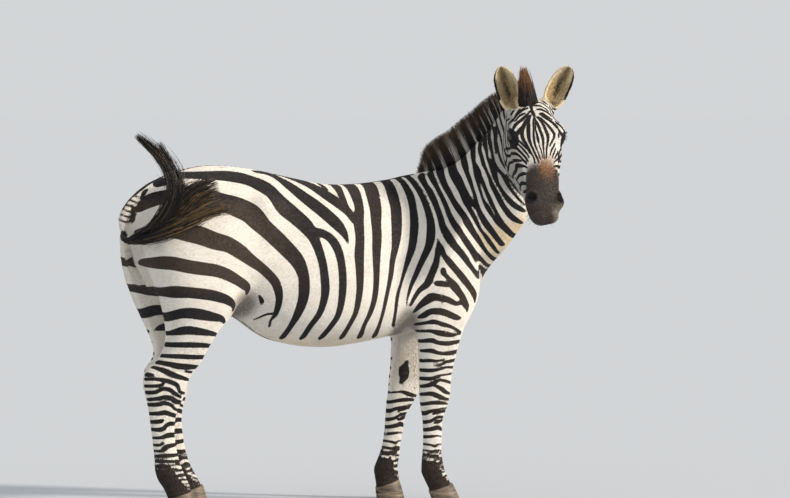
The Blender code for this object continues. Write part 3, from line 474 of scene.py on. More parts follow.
def sparse_net(field, axes, block):
    """Vertices and quads of field = 0 on a graded grid, read only in the blocks that the surface comes near."""
    counts = [len(a) for a in axes]
    values = np.ones(counts, np.float32)
    wanted = np.zeros(counts, bool)
    edges = [np.append(np.arange(0, n - 1, block), n - 1) for n in counts]
    middles = [(axes[k][edges[k][:-1]] + axes[k][edges[k][1:]]) / 2 for k in range(3)]
    halves = [(axes[k][edges[k][1:]] - axes[k][edges[k][:-1]]) / 2 for k in range(3)]
    at = np.stack(np.meshgrid(*middles, indexing="ij"), -1)
    size = np.stack(np.meshgrid(*halves, indexing="ij"), -1)
    rough = field(at.reshape(-1, 3)).reshape(at.shape[:3])
    close = np.abs(rough) < 1.35 * np.linalg.norm(size, axis=-1) + 0.012
    for i, j, k in np.argwhere(close | (rough < 0)):
        part = tuple(slice(edges[n][c], edges[n][c + 1] + 1) for n, c in enumerate((i, j, k)))
        if close[i, j, k]:
            wanted[part] = True
        else:
            values[part] = -1.0
    nodes = np.argwhere(wanted)
    for first in range(0, len(nodes), 400000):
        n = nodes[first : first + 400000]
        values[tuple(n.T)] = field(np.stack([axes[k][n[:, k]] for k in range(3)], 1))
    inside = values < 0
    for _ in range(3):  # fill the places where two surfaces would share an edge
        for a, b in ((0, 1), (1, 2), (2, 0)):
            turned = np.moveaxis(inside, (a, b), (0, 1))
            p00, p01, p10, p11 = turned[:-1, :-1], turned[:-1, 1:], turned[1:, :-1], turned[1:, 1:]
            crossed = (p00 == p11) & (p01 == p10) & (p00 != p01)
            for part in (p00, p01, p10, p11):
                part |= crossed
    corners = sum(
        inside[a : counts[0] - 1 + a, b : counts[1] - 1 + b, c : counts[2] - 1 + c].astype(np.int8)
        for a in (0, 1) for b in (0, 1) for c in (0, 1)
    )
    cells = np.argwhere((corners > 0) & (corners < 8))
    number = np.full([c - 1 for c in counts], -1, np.int32)
    number[tuple(cells.T)] = np.arange(len(cells))
    near = np.stack([axes[k][cells[:, k]] for k in range(3)], 1)
    step = np.stack([axes[k][cells[:, k] + 1] for k in range(3)], 1) - near
    centre = near + step / 2
    points = centre.copy()
    for _ in range(3):
        d = field(points)
        reach = 0.0008
        slope = np.stack([field(points + reach * e) - d for e in np.eye(3)], 1) / reach
        move = slope * (d / np.maximum((slope**2).sum(1), 0.05))[:, None]
        points = np.clip(points - np.clip(move, -0.7 * step, 0.7 * step),
                         centre - 0.6 * step, centre + 0.6 * step)
    quads = []
    for k in range(3):
        first, second = [slice(None)] * 3, [slice(None)] * 3
        first[k], second[k] = slice(0, -1), slice(1, None)
        a, b = inside[tuple(first)], inside[tuple(second)]
        at = np.argwhere(a != b)
        at = at[(at[:, (k + 1) % 3] > 0) & (at[:, (k + 2) % 3] > 0)]
        u, v = np.eye(3, dtype=int)[(k + 1) % 3], np.eye(3, dtype=int)[(k + 2) % 3]
        face = np.stack([number[tuple((at - m).T)] for m in (u * 0, u, u + v, v)], 1)
        flip = b[tuple(at.T)]
        face[flip] = face[flip][:, ::-1]
        quads.append(face)
    return points, np.concatenate(quads)


def new_piece(name, points, faces, smooth=True):
    """A mesh object from points on the sections' axes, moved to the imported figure's place, and faces."""
    points, faces = np.asarray(points + SHIFT, np.float32), np.asarray(faces, np.int32)
    mesh = bpy.data.meshes.new(name)
    mesh.vertices.add(len(points))
    mesh.vertices.foreach_set("co", points.ravel())
    mesh.loops.add(faces.size)
    mesh.loops.foreach_set("vertex_index", faces.ravel())
    mesh.polygons.add(len(faces))
    mesh.polygons.foreach_set("loop_start", np.arange(0, faces.size, faces.shape[1], dtype=np.int32))
    mesh.update(calc_edges=True)
    mesh.polygons.foreach_set("use_smooth", np.full(len(faces), smooth))
    obj = bpy.data.objects.new(name, mesh)
    bpy.context.scene.collection.objects.link(obj)
    return obj


def settle(obj):
    """Bake the object's modifiers into its mesh."""
    bpy.context.view_layer.update()
    mesh = bpy.data.meshes.new_from_object(obj.evaluated_get(bpy.context.evaluated_depsgraph_get()))
    obj.modifiers.clear()
    obj.data = mesh
    return obj


# spacing of the hide's net on the body, and on the head and neck
COARSE = 0.0072
FINE = 0.0033

# ================================================================ the stripes
# Each black band is a soft line drawn on the side of the body, in metres: forward, up, half its width.
# Haunch bands sweep back from the loin to the buttock, trunk bands stand, shoulder bands open in a chevron.
SIDE_BANDS = (
    # croup, haunch and loin
    ((-.53, 1.284, .011), (-.447, 1.284, .014), (-.395, 1.283, .0165), (-.342, 1.28, .02),
     (-.289, 1.272, .022), (-.247, 1.257, .024), (-.197, 1.228, .031), (-.16, 1.175, .036),
     (-.11, 1.13, .033), (-.063, 1.083, .03), (-.037, 1.033, .0205), (-.012, .95, .0165), (.001, .85, .017),
     (-.001, .8, .0145), (-.0105, .75, .0125), (-.033, .7, .011), (-.041, .65, .01), (-.04, .62, .006)),
    ((-.04, 1.07, .016), (.0105, 1.054, .016), (.046, 1.017, .018), (.066, .95, .016), (.073, .85, .0155),
     (.0685, .75, .0125), (.05, .7, .0115), (.03, .65, .011), (.035, .62, .007)),
    ((-.22, 1.298, .003), (-.15, 1.285, .008), (-.1, 1.247, .019), (-.05, 1.2, .024), (.008, 1.15, .026),
     (.059, 1.1, .0245), (.08, 1.073, .019), (.092, 1.05, .012), (.101, 1.02, .003)),
    ((-.12, 1.285, .002), (-.09, 1.278, .003), (-.037, 1.262, .01), (.005, 1.243, .017),
     (.045, 1.213, .022), (.085, 1.18, .022), (.12, 1.145, .018), (.145, 1.11, .018)),
    ((.13, 1.25, .022), (.123, 1.22, .016), (.12, 1.19, .014), (.122, 1.16, .012), (.135, 1.13, .014)),
    ((.062, 1.26, .008), (.068, 1.23, .01)),
    ((-.683, 1.152, .008), (-.651, 1.181, .019), (-.61, 1.2, .023), (-.55, 1.204, .03), (-.5, 1.193, .04),
     (-.447, 1.19, .04), (-.395, 1.18, .036), (-.342, 1.163, .04), (-.3, 1.144, .041), (-.271, 1.117, .04),
     (-.237, 1.083, .034), (-.195, 1.044, .033), (-.15, .999, .031), (-.113, .957, .028),
     (-.0895, .904, .022), (-.084, .857, .0215), (-.083, .815, .02), (-.0895, .7725, .0175),
     (-.0975, .736, .014), (-.106, .7, .0105), (-.11, .662, .01), (-.1, .63, .006)),
    ((-.69, 1.065, .014), (-.65, 1.075, .026), (-.6, 1.078, .031), (-.55, 1.068, .034), (-.5, 1.056, .035),
     (-.45, 1.037, .033), (-.395, 1.022, .03), (-.342, .992, .028), (-.3, .962, .0225), (-.25, .928, .018),
     (-.203, .883, .017), (-.183, .846, .0155), (-.174, .81, .0125), (-.173, .773, .0105),
     (-.175, .746, .0075), (-.182, .725, .004), (-.176, .7, .003)),
    ((-.676, .953, .014), (-.65, .954, .0235), (-.61, .952, .025), (-.55, .939, .025), (-.5, .931, .0245),
     (-.45, .924, .0235), (-.4, .908, .022), (-.347, .882, .019), (-.315, .864, .0175), (-.3, .852, .012),
     (-.297, .83, .005)),
    ((-.637, .843, .016), (-.6, .8427, .0225), (-.55, .8405, .0205), (-.5, .835, .0205), (-.45, .827, .02),
     (-.4, .8125, .0175), (-.375, .8, .015), (-.358, .785, .01), (-.358, .768, .005)),
    ((-.612, .745, .017), (-.578, .758, .0185), (-.546, .7615, .0198), (-.5, .756, .0205),
     (-.45, .746, .017), (-.41, .7375, .012), (-.387, .722, .006)),
    ((-.604, .681, .007), (-.57, .6915, .0148), (-.54, .695, .016), (-.5, .69, .0143), (-.45, .682, .01),
     (-.415, .675, .007)),
    ((-.606, .639, .009), (-.54, .6385, .0105), (-.48, .636, .0095), (-.43, .631, .007)),
    # small marks: croup, root of the tail, flank
    ((-.607, 1.247, .008), (-.585, 1.258, .011), (-.56, 1.266, .01)),
    ((-.638, 1.23, .003), (-.652, 1.217, .006), (-.666, 1.195, .004)),
    ((-.7, 1.17, .004), (-.698, 1.14, .006), (-.705, 1.11, .006)),
    ((-.23, .728, .003), (-.205, .748, .004), (-.182, .752, .004)),
    ((-.247, .822, .004), (-.234, .802, .007), (-.231, .79, .004)),
    # ribs
    ((.195, 1.26, .026), (.183, 1.2, .0225), (.176, 1.15, .019), (.159, 1.1, .022), (.154, 1.04, .019),
     (.145, .98, .0205), (.1445, .93, .018), (.146, .85, .0145), (.144, .8, .013), (.14, .75, .011),
     (.126, .7, .01), (.116, .65, .011), (.12, .62, .006)),
    ((.277, 1.26, .023), (.256, 1.2, .027), (.247, 1.15, .025), (.236, 1.1, .0215), (.231, 1.05, .0205),
     (.223, 1, .019), (.219, .95, .016), (.218, .9, .0132), (.2175, .85, .0125), (.2145, .8, .012),
     (.206, .75, .011), (.194, .7, .009), (.199, .65, .0125), (.206, .62, .006)),
    ((.352, 1.27, .017), (.34, 1.2, .023), (.336, 1.15, .023), (.327, 1.1, .023), (.318, 1.05, .021),
     (.306, 1, .0155), (.291, .95, .012), (.284, .9, .011), (.275, .85, .009), (.268, .8, .0085),
     (.265, .75, .0075), (.2645, .7, .008), (.27, .655, .012), (.285, .63, .007)),
    ((.4, 1.275, .011), (.4075, 1.25, .0125), (.415, 1.2, .0165), (.413, 1.15, .016), (.408, 1.1, .0185),
     (.397, 1.05, .018), (.383, 1, .016), (.362, .95, .012), (.3435, .9, .0075), (.329, .85, .006),
     (.321, .8, .0045), (.325, .75, .004), (.3355, .7, .006), (.36, .672, .01), (.4, .66, .005)),
    # shoulder: two bands run down beside the chevron, arches follow below it
    ((.44, 1.275, .011), (.451, 1.25, .012), (.467, 1.2, .013), (.476, 1.15, .013), (.48, 1.1, .015),
     (.474, 1.05, .017), (.458, 1, .014), (.429, .95, .012), (.403, .9, .011), (.38, .85, .008),
     (.3695, .8, .004), (.373, .775, .002)),
    ((.5014, 1.031, .002), (.5023, 1.0086, .008), (.5, .99, .013), (.493, .9686, .01), (.487, .94, .0115),
     (.4777, .917, .013), (.47, .9, .0125), (.46, .877, .0135), (.4486, .8557, .0125), (.42, .8327, .009),
     (.4, .8, .008), (.391, .775, .005)),
    ((.502, 1.01, .008), (.5086, .997, .012), (.522, .967, .0095), (.5366, .9486, .0125),
     (.554, .9277, .0125), (.5757, .903, .0125), (.5957, .88, .0135), (.617, .856, .0125),
     (.637, .834, .0125), (.653, .813, .0125), (.6586, .794, .007), (.66, .783, .003)),
    ((.5149, .912, .009), (.5155, .903, .011), (.5214, .893, .008), (.537, .877, .008), (.5486, .86, .014),
     (.563, .843, .0155), (.58, .823, .0135), (.5957, .803, .0125), (.6057, .783, .0135),
     (.6143, .7714, .012), (.62, .76, .006), (.6206, .7486, .003)),
    ((.488, .86, .009), (.5086, .8586, .0105), (.5286, .8557, .009), (.547, .856, .01)),
    ((.41, .748, .004), (.43, .775, .01), (.4514, .794, .0145), (.4686, .806, .0155), (.4886, .806, .0125),
     (.511, .801, .0125), (.5314, .796, .0105), (.551, .787, .0095), (.568, .78, .007), (.59, .784, .007)),
    ((.43, .728, .005), (.4457, .7357, .01), (.463, .7486, .01), (.4857, .7514, .0115), (.5086, .749, .012),
     (.5314, .7414, .012), (.554, .732, .011), (.574, .725, .0095), (.59, .7229, .004)),
    ((.425, .7, .005), (.457, .707, .006), (.477, .71, .0085), (.497, .7057, .0075), (.517, .6986, .0085),
     (.54, .693, .0065), (.563, .684, .0055), (.583, .674, .0055), (.6, .664, .007)),
    ((.425, .673, .005), (.4686, .674, .006), (.491, .6686, .0095), (.517, .6634, .011), (.54, .6594, .01),
     (.563, .6566, .007), (.583, .66, .0045), (.6, .662, .005)),
    ((.43, .632, .006), (.475, .637, .009), (.5, .628, .008), (.54, .624, .009), (.57, .627, .008),
     (.6, .63, .007)),
    # fore leg, down from the forearm
    ((.4495, .596, .006), (.479, .596, .009), (.502, .588, .007), (.534, .585, .008), (.5655, .587, .009),
     (.6, .592, .007)),
    ((.43, .556, .007), (.4745, .558, .007), (.502, .556, .005), (.531, .562, .004)),
    ((.488, .5395, .003), (.515, .541, .005), (.538, .551, .006), (.561, .5545, .007), (.6, .56, .006)),
    ((.43, .521, .007), (.479, .519, .008), (.511, .5236, .006), (.543, .5305, .005), (.59, .528, .006)),
    ((.43, .488, .007), (.479, .487, .008), (.506, .496, .006), (.534, .501, .0045), (.59, .5055, .005)),
    ((.44, .4545, .006), (.4745, .462, .009), (.493, .471, .009), (.511, .4805, .006), (.534, .478, .006),
     (.552, .4736, .006), (.58, .465, .005)),
    ((.488, .462, .005), (.506, .4555, .007), (.529, .442, .01), (.543, .433, .008), (.57, .425, .005)),
    ((.44, .4236, .006), (.479, .428, .009), (.502, .421, .01), (.5245, .412, .009), (.547, .4055, .006),
     (.58, .4, .005)),
    ((.45, .385, .007), (.4836, .392, .008), (.511, .392, .008), (.534, .3895, .006), (.57, .383, .003)),
    ((.455, .351, .008), (.4655, .351, .009), (.4836, .36, .007), (.506, .3645, .005), (.529, .369, .004),
     (.56, .369, .004)),
    ((.493, .3486, .005), (.511, .3545, .007), (.5336, .358, .006), (.55, .355, .005)),
    ((.46, .314, .008), (.488, .321, .007), (.506, .333, .006), (.529, .335, .006), (.55, .333, .005)),
    ((.502, .3145, .006), (.52, .317, .007), (.536, .3214, .005), (.55, .322, .004)),
    ((.46, .284, .007), (.493, .2895, .009), (.5155, .294, .009), (.5336, .287, .007), (.55, .282, .005)),
    ((.46, .257, .007), (.493, .26, .006), (.5155, .261, .004), (.55, .255, .004)),
    ((.46, .231, .005), (.488, .226, .005), (.506, .2214, .006), (.52, .228, .004), (.55, .226, .004)),
    ((.46, .207, .004), (.493, .201, .005), (.511, .2055, .004), (.545, .2, .004)),
    ((.46, .187, .004), (.497, .185, .005), (.52, .187, .003)),
    ((.5, .168, .003), (.54, .172, .004)),
    ((.505, .148, .003), (.55, .153, .004)),
    ((.52, .128, .003), (.56, .134, .004)),
    # hind leg, down from the gaskin
    ((-.64, .597, .006), (-.57, .5945, .009), (-.515, .591, .009), (-.44, .588, .008)),
    ((-.66, .575, .006), (-.643, .572, .008), (-.606, .565, .01), (-.57, .557, .012), (-.529, .5535, .011),
     (-.488, .551, .008), (-.46, .55, .006)),
    ((-.68, .56, .004), (-.661, .553, .006), (-.629, .542, .01), (-.602, .529, .012), (-.57, .517, .01),
     (-.538, .508, .008), (-.51, .5, .005)),
    ((-.538, .535, .004), (-.505, .531, .005)),
    ((-.7, .526, .006), (-.681, .526, .008), (-.664, .524, .005)),
    ((-.7, .507, .006), (-.652, .508, .007), (-.606, .499, .009), (-.57, .483, .009), (-.557, .458, .007),
     (-.53, .45, .005)),
    ((-.7, .481, .006), (-.643, .483, .007), (-.625, .491, .005)),
    ((-.7, .456, .008), (-.656, .458, .008), (-.629, .47, .008), (-.602, .467, .009), (-.575, .449, .008),
     (-.55, .436, .005)),
    ((-.69, .4286, .006), (-.647, .433, .008), (-.62, .438, .009), (-.593, .433, .01), (-.57, .42, .01),
     (-.535, .413, .007)),
    ((-.69, .408, .006), (-.643, .4105, .009), (-.62, .415, .008), (-.593, .408, .007),
     (-.5745, .392, .006), (-.55, .385, .005)),
    ((-.68, .374, .006), (-.638, .376, .009), (-.6155, .379, .01), (-.593, .372, .009), (-.55, .36, .008)),
    ((-.68, .342, .006), (-.638, .3445, .009), (-.622, .349, .006)),
    ((-.613, .326, .008), (-.593, .3355, .009), (-.55, .331, .007)),
    ((-.67, .315, .006), (-.634, .313, .009), (-.6155, .3195, .009)),
    ((-.67, .281, .004), (-.629, .283, .007), (-.606, .29, .01), (-.584, .292, .01), (-.55, .288, .008)),
    ((-.66, .254, .005), (-.634, .2545, .006), (-.622, .262, .006)),
    ((-.622, .24, .007), (-.602, .249, .009), (-.55, .256, .006)),
    ((-.66, .231, .004), (-.62, .233, .006), (-.6, .243, .004)),
    ((-.66, .2105, .005), (-.6155, .2127, .008), (-.55, .215, .006)),
    ((-.65, .19, .005), (-.6155, .192, .006), (-.55, .188, .006)),
    ((-.65, .17, .006), (-.6, .168, .008)),
    ((-.6, .15, .003), (-.54, .155, .004)),
    ((-.59, .13, .003), (-.53, .136, .004)),
)
# The neck's bands, drawn on its own side: along it, up from its root, half width.
NECK_BANDS = (
    ((1.166, .93, .0015), (1.172, .885, .003), (1.179, .85, .003), (1.186, .82, .0015)),
    ((1.146, .95, .002), (1.152, .905, .0045), (1.158, .865, .005), (1.165, .83, .004), (1.171, .8, .002)),
    ((.842, 1.045, .011), (.8547, 1.002, .008), (.8656, .97, .0094), (.872, .939, .0097),
     (.8756, .905, .0086), (.878, .861, .009), (.877, .83, .01), (.8784, .805, .0122), (.884, .774, .013),
     (.8906, .7425, .0118), (.9006, .711, .0098), (.9084, .68, .0084), (.914, .649, .006),
     (.9188, .62, .0045), (.922, .58, .004)),
    ((.8734, 1.045, .0094), (.885, 1.005, .0082), (.892, .977, .0064), (.9, .939, .0063),
     (.9047, .899, .0063), (.907, .861, .007), (.9116, .824, .0083), (.917, .799, .009),
     (.9225, .7675, .007), (.927, .736, .007), (.931, .705, .0063), (.933, .674, .0055), (.936, .64, .0055),
     (.94, .61, .005)),
    ((.908, 1.045, .0138), (.914, 1.011, .011), (.9194, .977, .0098), (.9266, .9456, .0092),
     (.932, .911, .0085), (.94, .874, .01), (.949, .836, .01), (.952, .805, .0115), (.956, .7675, .0094),
     (.96, .736, .0085), (.9616, .705, .007), (.964, .677, .006), (.968, .645, .0075)),
    ((.956, 1.05, .017), (.9616, 1.011, .0178), (.97, .98, .0185), (.9756, .9456, .0163),
     (.979, .918, .0165), (.98, .8925, .017), (.9775, .861, .0085), (.981, .83, .0078), (.983, .799, .0063),
     (.984, .7675, .0047), (.989, .7425, .0063), (.992, .7175, .0078), (.9944, .6925, .007),
     (.995, .665, .0047)),
    ((.987, .893, .014), (.998, .862, .006), (1.006, .85, .008)),
    ((1.011, 1.07, .0147), (1.0156, 1.023, .0132), (1.0156, .9935, .0088), (1.0176, .961, .008),
     (1.017, .929, .0059), (1.0156, .8965, .0059), (1.01, .867, .008), (1.008, .8406, .0088),
     (1.0097, .811, .0103), (1.0126, .782, .0118), (1.019, .749, .011), (1.0235, .717, .0096),
     (1.026, .69, .009)),
    ((1.066, 1.085, .014), (1.0597, 1.0435, .0103), (1.056, 1.02, .008), (1.0574, .9965, .0125),
     (1.056, .967, .0154), (1.0453, .932, .0055), (1.0426, .8994, .0044), (1.0406, .87, .0044),
     (1.044, .8406, .008), (1.047, .817, .008), (1.05, .7965, .0066), (1.0597, .779, .0147),
     (1.064, .758, .0132), (1.07, .7376, .0118), (1.075, .714, .0096), (1.077, .695, .007)),
    ((1.061, .96, .01), (1.0647, .9435, .007), (1.0647, .8965, .0066), (1.0656, .867, .0074),
     (1.066, .8376, .0066), (1.067, .808, .006), (1.0656, .782, .009)),
    ((1.109, 1.1, .008), (1.0956, 1.061, .008), (1.095, 1.032, .0074), (1.0935, 1.002, .0074),
     (1.0956, .973, .0052), (1.0968, .9435, .0056), (1.0956, .914, .008), (1.098, .885, .0088),
     (1.1, .855, .0096), (1.1015, .826, .0096), (1.105, .802, .0103), (1.1103, .776, .011),
     (1.1185, .758, .01), (1.128, .742, .006)),
    ((1.134, 1.11, .008), (1.125, 1.076, .0096), (1.123, 1.0435, .006), (1.1185, 1.017, .0044),
     (1.125, .9876, .0115), (1.123, .958, .0115), (1.12, .929, .0088), (1.12, .905, .006),
     (1.125, .87, .0066), (1.131, .8406, .0096), (1.141, .811, .01), (1.1524, .7906, .0088),
     (1.158, .779, .005)),
    ((1.16, 1.12, .009), (1.148, 1.076, .006), (1.143, 1.045, .003), (1.139, 1.02, .001)),
    ((1.19, 1.11, .01), (1.179, 1.076, .008), (1.1685, 1.052, .005), (1.16, 1.02, .002)),
)
# where the neck's bands take over from the body's: up, along
NECK_EDGE = (
    (0.50, 0.905), (0.60, 0.905), (0.63, 0.905), (0.665, 0.897), (0.695, 0.890), (0.73, 0.877), (0.76, 0.869),
    (0.80, 0.862), (0.85, 0.861), (0.90, 0.861), (0.95, 0.852), (1.002, 0.838), (1.049, 0.821), (1.08, 0.810),
    (1.12, 0.795),
)
# The face's lines, drawn round the head: to the left of its middle, down from the poll, half width.
FACE_BANDS = (
    # middle of the forehead, and the lines over the brow to the ears
    ((-.0195, .052, .006), (-.019, .06, .005), (-.0185, .075, .004), (-.017, .09, .006), (-.014, .1, .004)),
    ((-.013, .01, .008), (-.0195, .02, .009), (-.0245, .03, .009), (-.032, .0415, .006),
     (-.041, .046, .007), (-.0505, .053, .007), (-.0605, .061, .006), (-.0695, .07, .006),
     (-.078, .0785, .007), (-.087, .088, .007), (-.092, .092, .006)),
    ((-.11, .06, .005), (-.1, .0585, .004), (-.089, .054, .004), (-.0745, .0465, .003),
     (-.0615, .037, .0028), (-.051, .028, .003), (-.045, .02, .003), (-.041, .014, .003),
     (-.0365, .003, .004)),
    ((-.11, .0425, .003), (-.101, .043, .003), (-.091, .041, .003), (-.0805, .0355, .0025),
     (-.07, .028, .0025), (-.063, .0225, .0025)),
    ((-.075, .082, .003), (-.0615, .0735, .0035), (-.0545, .07, .0035), (-.0455, .066, .004),
     (-.0335, .062, .003)),
    ((-.14, .088, .003), (-.125, .086, .0035), (-.11, .087, .004), (-.095, .092, .006)),
    ((-.17, .06, .002), (-.15, .064, .0025), (-.13, .069, .003)),
    ((-.08, .115, .004), (-.074, .1, .004), (-.067, .093, .004), (-.058, .0885, .004), (-.047, .087, .003)),
    ((-.0835, .15, .004), (-.0776, .137, .005), (-.069, .125, .0055), (-.06, .115, .0055),
     (-.051, .106, .005), (-.0424, .099, .004), (-.0365, .093, .003), (-.0306, .0856, .0025),
     (-.026, .078, .002)),
    ((-.03, .1, .002), (-.0365, .108, .003), (-.044, .119, .004), (-.051, .134, .005), (-.0575, .147, .004),
     (-.0645, .155, .003), (-.0705, .165, .004), (-.075, .174, .005), (-.078, .181, .002)),
    # from the whorl down between the eyes
    ((-.0515, .136, .004), (-.0555, .15, .004), (-.0595, .16, .0035), (-.062, .17, .004),
     (-.0645, .182, .004), (-.065, .194, .0045), (-.063, .206, .0045), (-.0593, .216, .004),
     (-.055, .229, .003), (-.051, .241, .0025), (-.047, .253, .002), (-.044, .265, .002),
     (-.0395, .276, .002), (-.038, .288, .0025), (-.038, .3, .002)),
    ((-.026, .099, .002), (-.03, .108, .0025), (-.035, .12, .003), (-.038, .131, .004),
     (-.0395, .145, .005), (-.042, .16, .0055), (-.044, .18, .0055), (-.045, .195, .005),
     (-.0445, .207, .0045), (-.043, .217, .0035), (-.04, .232, .003), (-.0365, .244, .003),
     (-.0335, .257, .003), (-.03, .268, .003), (-.026, .279, .003), (-.0235, .29, .0025),
     (-.0215, .298, .002)),
    ((-.0185, .115, .0015), (-.021, .13, .002), (-.0225, .145, .002), (-.0245, .165, .0022),
     (-.0265, .18, .0022), (-.0275, .195, .003), (-.0275, .22, .003), (-.026, .232, .0025),
     (-.0235, .243, .002), (-.0215, .25, .001)),
    ((-.0145, .137, .0015), (-.016, .15, .0015), (-.0175, .163, .0015), (-.016, .175, .002),
     (-.0145, .19, .003), (-.013, .205, .004), (-.0125, .215, .003), (-.0115, .222, .001)),
    ((-.0165, .105, .0015), (-.0135, .122, .003), (-.0085, .137, .004), (-.005, .15, .0045),
     (-.0025, .163, .0045), (.0015, .18, .0045), (.0045, .195, .005), (.0055, .205, .004),
     (.0055, .22, .0035), (.0045, .233, .003), (.0045, .242, .0025), (.004, .252, .001)),
    ((-.0075, .108, .0015), (.0015, .12, .003), (.009, .133, .004), (.0145, .147, .0045),
     (.0185, .162, .005), (.0225, .174, .0055), (.026, .185, .006), (.0265, .196, .005),
     (.0245, .209, .004), (.023, .219, .003), (.021, .229, .0025), (.018, .241, .0025),
     (.0165, .253, .0025), (.015, .268, .002), (.0135, .28, .0015)),
    ((-.001, .107, .0015), (.0075, .115, .003), (.018, .127, .004), (.028, .139, .0045),
     (.0355, .149, .0055), (.0445, .162, .005), (.05, .172, .004), (.0525, .183, .0035), (.051, .192, .003),
     (.0475, .2, .0028), (.043, .209, .0028), (.0385, .217, .0025), (.035, .224, .002),
     (.0315, .232, .001)),
    ((.006, .093, .002), (.015, .099, .005), (.0255, .108, .006), (.037, .115, .006), (.049, .1225, .006),
     (.056, .131, .005), (.061, .142, .004), (.0635, .149, .003)),
    ((.012, .09, .003), (.018, .09, .004), (.025, .093, .0035), (.0325, .099, .003), (.0445, .103, .003),
     (.055, .11, .002)),
    ((.003, .07, .003), (.015, .07, .0045), (.027, .0725, .005), (.037, .077, .005), (.049, .083, .005),
     (.0575, .09, .004)),
    ((-.01, .049, .0035), (.002, .049, .004), (.0195, .0495, .004), (.0295, .053, .003),
     (.0415, .0605, .003), (.052, .068, .003)),
    ((-.0085, .029, .004), (.005, .029, .006), (.02, .0265, .0035), (.031, .0255, .0025),
     (.04, .0325, .002), (.049, .0415, .002), (.059, .049, .002), (.0695, .055, .0015)),
    ((.0475, .0105, .003), (.0495, .0195, .0035), (.052, .027, .002), (.059, .034, .0015)),
    # fine lines that close on the nose
    ((-.079, .2015, .002), (-.073, .213, .0025), (-.066, .225, .0025), (-.06, .235, .0025),
     (-.0555, .244, .0018), (-.05, .26, .0015)),
    ((-.085, .2135, .0015), (-.079, .225, .002), (-.0735, .236, .0025), (-.0685, .2455, .0025),
     (-.064, .2545, .0025), (-.0605, .263, .002), (-.0575, .275, .0015)),
    ((-.021, .25, .001), (-.018, .262, .0015), (-.0155, .275, .0018), (-.0125, .287, .001)),
    ((-.012, .228, .001), (-.0075, .245, .0012), (-.004, .262, .0012), (-.0025, .28, .001)),
    ((.004, .255, .001), (.0045, .27, .0012), (.005, .285, .001)),
    # on the left of the nose, to the corner of the mouth and the nostril
    ((.056, .215, .002), (.052, .2235, .0025), (.046, .234, .0025), (.04, .244, .003), (.037, .2515, .0025),
     (.034, .259, .002), (.0325, .2675, .001)),
    ((.062, .232, .0015), (.056, .244, .002), (.0505, .256, .0025), (.046, .265, .002),
     (.043, .2765, .001)),
    ((.077, .238, .002), (.0725, .2485, .003), (.065, .259, .003), (.059, .269, .0025), (.053, .278, .001)),
    ((.0885, .256, .005), (.08, .266, .005), (.071, .275, .003), (.062, .282, .002), (.053, .291, .0015),
     (.049, .2955, .001)),
    ((.09, .3, .005), (.08, .3015, .0045), (.068, .303, .0035), (.056, .3075, .0025), (.05, .31, .0015)),
    ((.0575, .3245, .002), (.065, .3235, .003), (.072, .325, .003)),
    ((.053, .353, .003), (.063, .3515, .004), (.07, .351, .003)),
)
